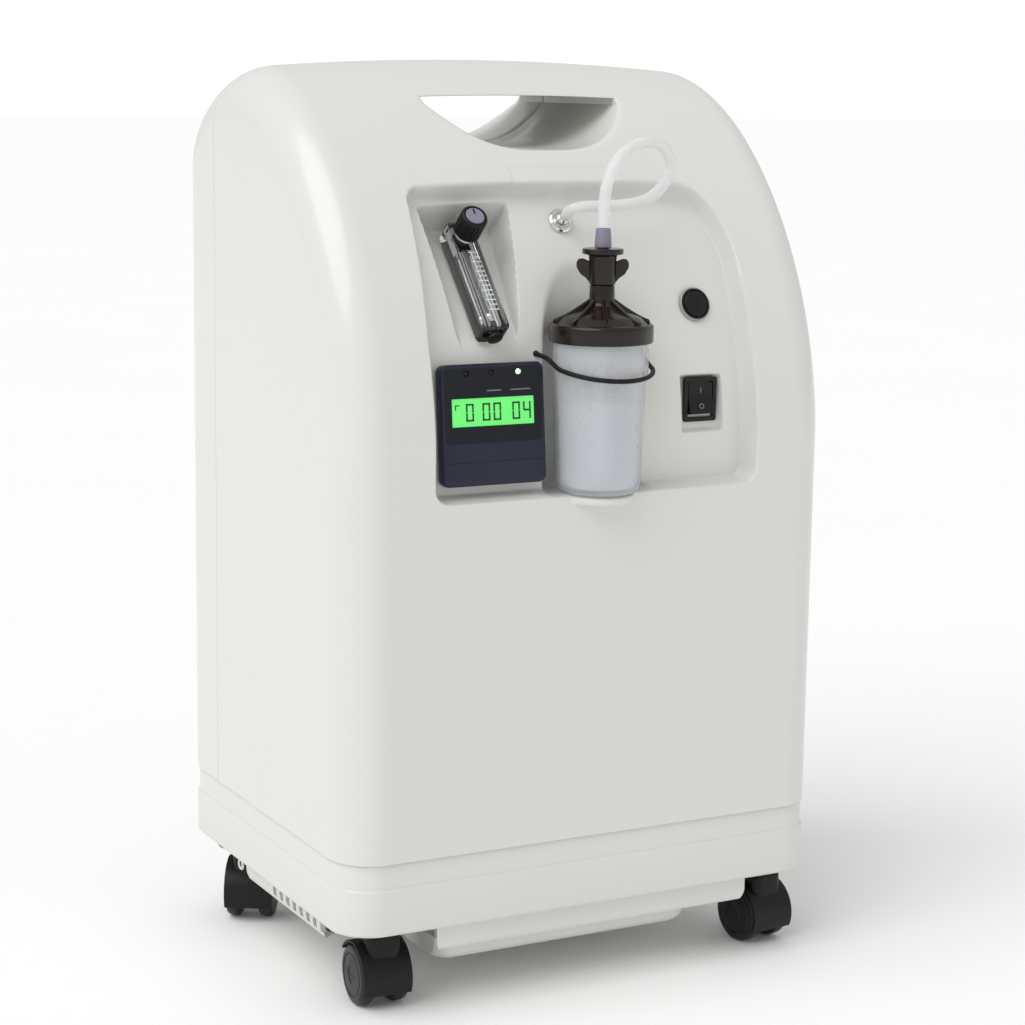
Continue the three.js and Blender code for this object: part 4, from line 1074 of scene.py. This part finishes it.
def build_display():
    """A navy box with a backlit window, three lamps and a glossy upper face."""
    place = on_panel(DISPLAY_X, DISPLAY_Z, 1.6)
    thick = DISPLAY_T
    case = pillow(DISPLAY_W, DISPLAY_H, 5, [
        (-0.2, 0), (thick - 1.2, 0), (thick - 0.6, 0.15), (thick - 0.2, 0.5), (thick, 1.1),
    ], 10)
    window = box(-28.9, 28.7, -1.1, 16.9, thick - 2, thick + 2)
    lamps = (-18.3, -1, 18)
    holes = [moved(cylinder(1.9, thick - 2, thick + 1, 32), at(x, 32)) for x in lamps]
    housing = carve("display_case", case, [window, *holes], NAVY, "cabinet", place, bevel=0.25, steps=2)
    stands_for(housing, "display_housing")

    face = moved(prism(rounded_rectangle(DISPLAY_W - 4.5, 46.5, 3), thick - 0.05, thick + 0.12), at(0, 12))
    plate = carve("display_face", face, [window, *holes], NAVY_BAND, "cabinet", place)
    step = box(-DISPLAY_W / 2 + 2.3, DISPLAY_W / 2 - 2.3, -23.2, -22.8, thick - 0.05, thick + 0.1)
    make("display_line", step, NAVY_BAND, "cabinet", place)

    glass = moved(prism(rounded_rectangle(57, 17.4, 0.6), thick - 1.7, thick - 0.5), at(-0.1, 7.9))
    stands_for(make("display_glass", glass, LCD, "cabinet", place, bevel=0.15), "lcd_window")
    ink = []
    for character, x in (("0", -19), ("0", -7.6), ("0", 0.0), ("0", 13.2), ("4", 20.8)):
        ink += digit(character, x, 2.4, 5.4, 11, 1.15)
    ink += [box(-26.5, -23.4, 12.2, 12.9, 0, 0.12), box(-26.5, -25.8, 9.6, 12.9, 0, 0.12)]
    ink = make("display_digits", joined(*ink), LCD_INK, "cabinet", place @ at(0, 0, thick - 0.5))
    marks = joined(box(-4.5, 5.5, 20.6, 21.4, 0, 0.06), box(12, 26, 20.6, 21.4, 0, 0.06))
    make("display_marks", marks, PRINT_GREY, "cabinet", place @ at(0, 0, thick + 0.12))

    for i, x in enumerate(lamps):
        lens = lathe(rounded([(0, 0), (1.6, 0), (1.6, 1.3), (1.1, 2.0), (0, 2.2)], 0.5), 32)
        lit = i == 2
        lamp = make(f"lamp_{i + 1}", lens, LAMP if lit else BLACK, "cabinet", place @ at(x, 32,
            thick - 2 + GAP))
        stands_for(lamp, f"indicator_{i + 1}")


def fluted(radius, depth, count, levels, sides=144):
    """A knob: rings of (height, shrink, flute strength) with flutes round the side."""
    vertices = []
    for z, shrink, strength in levels:
        for i in range(sides):
            angle = 2 * math.pi * i / sides
            wave = (0.5 - 0.5 * math.cos(angle * count)) ** 2
            r = radius - shrink - depth * strength * wave
            vertices.append((r * math.cos(angle), r * math.sin(angle), z))
    faces = [tuple(range(sides - 1, -1, -1)), tuple(range(len(vertices) - sides, len(vertices)))]
    for k in range(len(levels) - 1):
        for i in range(sides):
            j = (i + 1) % sides
            faces.append((k * sides + i, k * sides + j, (k + 1) * sides + j, (k + 1) * sides + i))
    return vertices, faces


def build_flowmeter():
    """A clear block that leans back, with a bore, a float, a printed scale and a knob on top."""
    lift = FLOW_D / 2 + 0.4
    back, up = math.sin(FLOW_LEAN), math.cos(FLOW_LEAN)
    foot_y, foot_z = FLOW_FOOT
    place = at(FLOW_X, foot_y - up * lift + back * 3, foot_z + back * lift + up * 3)
    place = place @ Matrix.Rotation(-FLOW_LEAN, 4, "X")

    block = pillow(FLOW_W, FLOW_D, 2, [
        (0, 2), (0.6, 1.1), (1.6, 0.4), (3, 0), (FLOW_L - 3, 0), (FLOW_L - 1.6, 0.4), (FLOW_L - 0.6,
            1.1), (FLOW_L, 2),
    ], 6)
    bore = cylinder(4, -1, FLOW_L - 22, 48)
    spindle = moved(cylinder(3.6, -6, 6, 48), at(0, -FLOW_D / 2, FLOW_L - 12) @ ALONG_Y)
    body = carve("flow_block", block, [bore, spindle], ACRYLIC, "cabinet", place)
    stands_for(body, "flowmeter_body")

    port = rounded([(0, -3), (5, -3), (5, -0.3), (3.7, -0.3), (3.7, 8), (0, 8)], 0.5)
    stands_for(make("flow_port", lathe(port, 48), BLACK, "cabinet", place), "flowmeter_plug")
    bob = rounded([(0, 0), (1.4, 0), (3.4, 4), (3.4, 5.5), (0, 5.5)], 0.4)
    bob = make("flow_bob", lathe(bob, 48), CHROME, "flow_float", place @ at(0, 0, 8 + GAP))
    stands_for(bob, "flow_float")

    backing = box(-8, 6, FLOW_D / 2 - 0.9, FLOW_D / 2 - 0.5, 6, FLOW_L - 5)
    make("flow_backing", backing, SATIN, "cabinet", place)
    ticks = []
    for i in range(13):
        z = 14 + i * 3.7
        reach = 7 if i % 2 == 0 else 5
        ticks.append(box(5 - reach, 5, -FLOW_D / 2 - 0.08, -FLOW_D / 2 + 0.02, z - 0.42, z + 0.42))
    make("flow_scale", joined(*ticks), PRINT, "cabinet", place)
    collar = lathe(rounded([(3.7, 0), (7.4, 0), (7.4, 1.2), (6.4, 2.2), (3.7, 2.2), (3.7, 0)], 0.4), 48)

    knob = place @ at(0, -FLOW_D / 2 - GAP, FLOW_L - 12) @ turn(90, "X")
    grip = fluted(8.8, 0.75, 18, [
        (3, 0.9, 0), (3.2, 0.4, 0), (3.8, 0, 0), (4.6, 0, 1), (16.4, 0, 1), (17.4, 0, 0.2), (18.4, 0.15, 0),
        (19.1, 0.6, 0), (19.5, 1.3, 0), (19.5, 1.9, 0), (18.9, 2.2, 0), (18.6, 2.4, 0),
    ])
    stem = cylinder(3.3, -5, 4, 32)
    stands_for(make("knob_grip", joined(grip, stem), SATIN, "flow_knob", knob), "flow_knob")
    cap = rounded([(0, 18.6 + GAP), (6.2, 18.6 + GAP), (6.2, 19.4), (5.6, 19.7), (0, 19.8)], 0.4)
    cap = make("knob_cap", lathe(cap, 64), LILAC, "flow_knob", knob)
    stands_for(cap, "flow_knob_cap")
    pointer = moved(prism(rounded_rectangle(1.1, 4.2, 0.5), 19.75, 19.95), at(0, 3.1))
    make("knob_pointer", pointer, BLACK, "flow_knob", knob)
    make("knob_collar", collar, STEEL, "cabinet", knob)


def build_outlet():
    r = OUTLET_R
    profile = rounded([
        (0, -7), (4.6, -7), (4.6, 0), (r, 0), (r, 1.6), (r - 1.4, 2.7), (5.6, 2.6), (5.2, 1.4), (4.2,
            1.4), (4.2, 4.5),
        (4.0, 5.4), (3.2, 6), (3.0, 9.5), (0, 9.5),
    ], 0.5, 4)
    nozzle = make("outlet_fitting", lathe(profile, 72), CHROME, "cabinet", on_panel(OUTLET_X, OUTLET_Z,
        GAP))
    stands_for(nozzle, "outlet_nozzle")


def build_breaker():
    r = BREAKER_R
    place = on_panel(BREAKER_X, BREAKER_Z, GAP)
    collar = rounded([(9, -14), (r, -14), (r, 0), (r + 0.2, 0.4), (r + 0.3, 2.2), (9.2, 2.4), (9, 2), (9,
        -14)], 0.5)
    stands_for(make("breaker_collar", lathe(collar, 72), BLACK, "cabinet", place), "breaker_housing")
    ring = rounded([(r + 0.3, 0), (r + 1.4, 0), (r + 1.4, 1.1), (r + 0.6, 2.0), (r + 0.3, 1.9), (r + 0.3,
        0)], 0.4)
    make("breaker_ring", lathe(ring, 72), GREY, "cabinet", place)
    cap = rounded([(0, -10), (8.6, -10), (8.6, 2.2), (7.9, 3.1), (6.4, 3.4), (3, 3.6), (0, 3.62)], 0.8, 5)
    cap = make("breaker_cap", lathe(cap, 72), SATIN, "breaker_button", place)
    stands_for(cap, "breaker_button")


def build_switch():
    """A black rocker in a square bezel, with its upper end pressed in."""
    floor = panel_y(SWITCH_Z) + POCKET_D - GAP
    place = at(SWITCH_X, floor, SWITCH_Z) @ turn(90, "X")
    rim = joined(
        prism(rounded_rectangle(24.6, 29, 1.5), 0, 3.2),
    )
    bezel = carve("switch_frame", rim, [box(-9.4, 9.4, -11.5, 11.5, -1, 5)], BLACK, "cabinet", place,
        bevel=0.6)
    stands_for(bezel, "switch_bezel")
    sleeve = carve("switch_sleeve", box(-10.4, 10.4, -12.9, 12.9, -13, 1), [box(-9.4, 9.4, -11.5, 11.5,
        -10, 5)],
                   BLACK, "cabinet", place)
    outline = [(-5.5, -4), (5.5, -4), (10.2, 1), (10.2, 5.8)]
    for i in range(1, 10):
        t = 10.2 - 20.4 * i / 10
        outline.append((t, 4.4 + 1.4 * abs(t / 10.2) ** 1.7))
    outline += [(-10.2, 5.8), (-10.2, 1)]
    tilted = place @ at(0, 0, -1) @ turn(-10, "X")
    key = moved(prism(outline, -9.1, 9.1), ALONG_X)
    stands_for(make("switch_key", key, BLACK, "switch_rocker", tilted, bevel=0.5), "switch_rocker")
    bar = moved(box(-0.35, 0.35, -1.7, 1.7, 0, 0.14), at(0, 5.2, 4.86) @ turn(7, "X"))
    circle = lathe([(1.2, 0), (1.8, 0), (1.8, 0.14), (1.2, 0.14), (1.2, 0)], 40)
    circle = moved(circle, at(0, -5.2, 4.86) @ turn(-7, "X"))
    make("switch_marks", joined(bar, circle), PRINT_GREY, "switch_rocker", tilted)


# ------------------------------------------------------------------ humidifier
def build_humidifier():
    place = at(BOTTLE_X, BOTTLE_Y)
    low = PANEL_LOW + GAP
    r, foot = BOTTLE_R, BOTTLE_FOOT
    neck = LID_LOW + 8
    outer = [
        (0, low + 1.8), (foot - 9, low + 1.4), (foot - 7.5, low), (foot - 4, low + 0.3), (foot - 1,
            low + 2.6),
        (foot, low + 7), (r - 2.2, LID_LOW - 26), (r - 0.7, LID_LOW - 18), (r - 0.6, LID_LOW - 6),
        (r - 1, LID_LOW - 2), (r - 1, neck),
    ]
    inner = [
        (r - 3, neck), (r - 3, LID_LOW - 18), (foot - 1.8, low + 8), (foot - 3, low + 5), (foot - 6,
            low + 3.6),
        (0, low + 3.6),
    ]
    bottle = make("bottle_shell", lathe(rounded(outer + inner, 2.2, 5), 96), BOTTLE, "humidifier_bottle",
        place)
    stands_for(bottle, "humidifier_bottle")
    level = 389
    wet = r - 3.1 - (r - foot - 1) * (LID_LOW - 18 - level) / 80
    water = [
        (0, low + 3.8), (foot - 6.2, low + 3.8), (foot - 3.2, low + 5.2), (foot - 2, low + 8), (wet - 0.3,
            level - 0.4),
        (wet, level + 0.6), (wet - 1.2, level), (0, level),
    ]
    make("bottle_water", lathe(rounded(water, 0.8), 96), WATER, "humidifier_bottle", place)

    top = LID_HIGH
    dome = rounded([
        (r - 0.7, LID_LOW), (33, LID_LOW), (33, top - 1.6), (31.4, top + 0.1), (29.5, top - 0.4), (24,
            top + 4.2),
        (13, top + 8.3), (8.8, top + 11.4), (8.1, top + 14), (7.8, top + 23.5), (6.6, top + 23.6), (6.6,
            474), (0, 474),
        (0, neck + 3), (r - 0.7, neck + 0.6), (r - 0.7, LID_LOW),
    ], 1.2, 4)
    fins = []
    outline = [(5, top - 1), (30.9, top - 1), (30.6, top + 1.2)]
    outline += [(30 - 21.8 * i / 12, top + 2.3 + 12.7 * (i / 12) ** 1.25) for i in range(13)]
    outline += [(5, top + 15.2)]
    for i in range(8):
        fins.append(moved(prism(outline, -1.15, 1.15), turn(22.5 + 45 * i, "Z") @ ALONG_X))
    lid = make("lid_dome", lathe(dome, 96), BROWN, "cabinet", place)
    stands_for(lid, "humidifier_lid")
    make("lid_fins", joined(*fins), BROWN, "cabinet", place, bevel=0.55)

    low_nut = top + 24
    nut = lathe(rounded([
        (6.9, low_nut), (8.3, low_nut), (8.6, 472), (8.8, 479.5), (10, 480.8), (13, 481), (13,
            484.2), (12, 484.5),
        (4, 484.5), (4, 474.4), (6.9, 474.4), (6.9, low_nut),
    ], 0.7, 4), 72)
    wing = [(7.6, low_nut + 0.5), (10.5, low_nut + 4), (14, 468.5), (16.3, 472.5), (16.5, 475.5), (15.2,
        477.8),
            (12.5, 478.2), (7.6, 476)]
    wings = [moved(prism(wing, -1.7, 1.7), turn(a, "Z") @ ALONG_Y) for a in (-28, 152)]
    stands_for(make("nut_body", nut, BROWN, "lid_wing_nut", place), "lid_wing_nut")
    make("nut_wings", joined(*wings), BROWN, "lid_wing_nut", place, bevel=0.7)

    adapter = rounded([(0, 474.6), (3.7, 474.6), (3.7, 485), (5.4, 485), (5.3, 488), (4.6, 497), (0,
        497)], 0.6)
    stands_for(make("adapter_cone", lathe(adapter, 48), LILAC, "cabinet", place), "tube_adapter")
    stem = rounded([
        (0, low + 12), (5.5, low + 12), (5.5, low + 20), (3.5, low + 24), (3.5, top + 1), (0, top + 1),
    ], 0.8)
    stands_for(make("bubbler_tube", lathe(stem, 40), BOTTLE, "cabinet", place), "bubbler_stem")


def build_band():
    """The elastic band crosses the bottle's front and ends in the panel on each side."""
    x, y = BOTTLE_X, BOTTLE_Y
    radius = BOTTLE_R + 2.1
    end_y = panel_y(418) - 0.9
    points = [(x - 37.5, end_y, 418), (x - 34.5, y + 8, 416)]
    for i in range(11):
        a = math.radians(8 + 16.4 * i)
        points.append((x - radius * math.cos(a), y - radius * math.sin(a), 411.5 - 7 * math.sin(a)))
    points += [(x + 34.5, y + 8, 416), (x + 37.5, end_y, 418)]
    band = make("elastic_loop", tube(flowing(points, 110), 1.5, 20), RUBBER, "cabinet")
    stands_for(band, "elastic_band")
    for side in (-1, 1):
        knot = lathe(rounded([(0, -1), (2.1, -1), (2.1, 0.4), (1.5, 1.3), (0, 1.6)], 0.5), 32)
        make(f"band_grommet_{'left' if side < 0 else 'right'}", knot, RUBBER, "cabinet",
                     on_panel(x + side * 37.5, 418, 0.1))


# ------------------------------------------------------------------ rear
def build_rear():
    wall = DEPTH / 2
    flat = at(0, wall, FILTER_Z) @ turn(-90, "X")
    plate = prism(rounded_rectangle(FILTER_W + 8, FILTER_H + 8, 5), GAP, 2)
    slots = [moved(prism(rounded_rectangle(128, 5.2, 2.4), -4, 4), at(0, (i - 4) * 10.5)) for i in range(9)]
    cover = carve("filter_grille", plate, slots, BASE, "filter_cover", flat, bevel=0.6)
    stands_for(cover, "filter_cover")
    skirt = carve(
        "filter_skirt", box(-74.5, 74.5, -54.5, 54.5, -9, 0.6), [box(-72, 72, -52, 52, -10, 2)], BASE,
        "filter_cover", flat,
    )
    pad = make("filter_pad", box(-71.5, 71.5, -51.5, 51.5, -9, -3.3), FOAM, "filter_cover", flat, bevel=1)
    stands_for(pad, "foam_filter")
    tab = pillow(26, 7, 2, [(1.8, 0), (2.0, 0), (2.0, 1.2)], 6)
    make("filter_tab", moved(tab, at(0, 0)), BASE, "filter_cover", flat)

    mount = at(INLET_X, wall, INLET_Z) @ turn(-90, "X")
    flange = prism(rounded_rectangle(50, 26, 3), GAP, 2)
    well = prism(rounded_rectangle(24, 16.2, 2), -16, 4)
    face = carve("inlet_flange", flange, [well], BLACK, "cabinet", mount, bevel=0.5)
    stands_for(face, "power_inlet")
    sleeve = carve("inlet_sleeve", prism(rounded_rectangle(27.6, 19.8, 3), -22, 0.6), [well], BLACK,
        "cabinet", mount)
    pins = [box(x - 1, x + 1, y - 2, y + 2, -17, -5) for x, y in ((-7, 2), (7, 2), (0, -2))]
    make("inlet_pins", joined(*pins), STEEL, "cabinet", mount, bevel=0.3)
    for x in (-20, 20):
        head = lathe(rounded([(0, 2), (2.6, 2), (2.6, 2.14), (0, 2.2)], 0.3), 32)
        side = "left" if x < 0 else "right"
        make(f"inlet_screw_{side}", head, STEEL, "cabinet", mount @ at(x, 0))

    for i, (x, z) in enumerate(((-140, 140), (140, 140), (-140, 480), (140, 480))):
        spot = at(x, wall + GAP, z) @ turn(-90, "X")
        head = lathe(rounded([(0, 0), (4, 0), (4, 0.4), (3, 1.1), (0, 1.2)], 0.4), 40)
        cross = [box(-2.2, 2.2, -0.45, 0.45, 0.5, 2), box(-0.45, 0.45, -2.2, 2.2, 0.5, 2)]
        screw = carve(f"screw_head_{i + 1}", head, cross, STEEL, "cabinet", spot)
        stands_for(screw, f"case_screw_{i + 1}")


# ------------------------------------------------------------------ inside the cabinet
INSIDE = {
    "chassis_deck": STEEL, "product_tank": STEEL, "compressor_body": ALLOY, "compressor_head_left": ALLOY,
    "compressor_head_right": ALLOY, "sieve_bed_left": ALLOY, "sieve_bed_right": ALLOY, "valve_block": ALLOY,
    "fan_frame": SATIN, "fan_rotor": GREY, "control_board": BOARD,
}


def finish_inside():
    """The CAD solids inside the cabinet keep their shape and get real finishes."""
    for name, material in INSIDE.items():
        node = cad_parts[name]
        for place in node.material_slots:
            place.link = "OBJECT"
            place.material = material
        edges = node.modifiers.new("edges", "BEVEL")
        edges.width = 0.0006
        edges.segments = 2
        edges.limit_method = "ANGLE"
        edges.angle_limit = math.radians(35)


build_base()
for caster_name, caster_place in CASTERS.items():
    build_caster(caster_name, *caster_place)
build_display()
build_flowmeter()
build_outlet()
build_breaker()
build_switch()
build_humidifier()
build_band()
build_rear()
finish_inside()


# ------------------------------------------------------------------ floor and light
def build_studio():
    material, tree, principled, place = shader("studio_white")
    tone = two_tone(tree, noise(tree, place, 2), (0.94, 0.94, 0.94), (0.96, 0.96, 0.96))
    tree.links.new(tone, principled.inputs["Base Color"])
    principled.inputs["Roughness"].default_value = 0.9
    mesh = bpy.data.meshes.new("floor")
    mesh.from_pydata([(-30, -30, 0), (30, -30, 0), (30, 30, 0), (-30, 30, 0)], [], [(0, 1, 2, 3)])
    mesh.materials.append(material)
    floor = bpy.data.objects.new("floor", mesh)
    bpy.context.scene.collection.objects.link(floor)

    world = bpy.data.worlds.new("studio")
    bpy.context.scene.world = world
    world.use_nodes = True
    background = world.node_tree.nodes["Background"]
    background.inputs["Color"].default_value = (1, 1, 1, 1)
    background.inputs["Strength"].default_value = 0.68
    seen = world.node_tree.nodes.new("ShaderNodeBackground")
    seen.inputs["Strength"].default_value = 1.05
    choose = world.node_tree.nodes.new("ShaderNodeMixShader")
    ray = world.node_tree.nodes.new("ShaderNodeLightPath")
    links = world.node_tree.links
    links.new(ray.outputs["Is Camera Ray"], choose.inputs["Fac"])
    links.new(background.outputs["Background"], choose.inputs[1])
    links.new(seen.outputs["Background"], choose.inputs[2])
    links.new(choose.outputs["Shader"], world.node_tree.nodes["World Output"].inputs["Surface"])
    seen.inputs["Color"].default_value = (1, 1, 1, 1)

    data = bpy.data.lights.new("sun", "SUN")
    data.energy = 1.5
    data.angle = math.radians(50)
    sun = bpy.data.objects.new("sun", data)
    sun.rotation_mode = "QUATERNION"
    sun.rotation_quaternion = Vector((0.62, 0.18, -0.77)).to_track_quat("-Z", "Y")
    bpy.context.scene.collection.objects.link(sun)
    bpy.context.scene.view_settings.view_transform = "Standard"


build_studio()
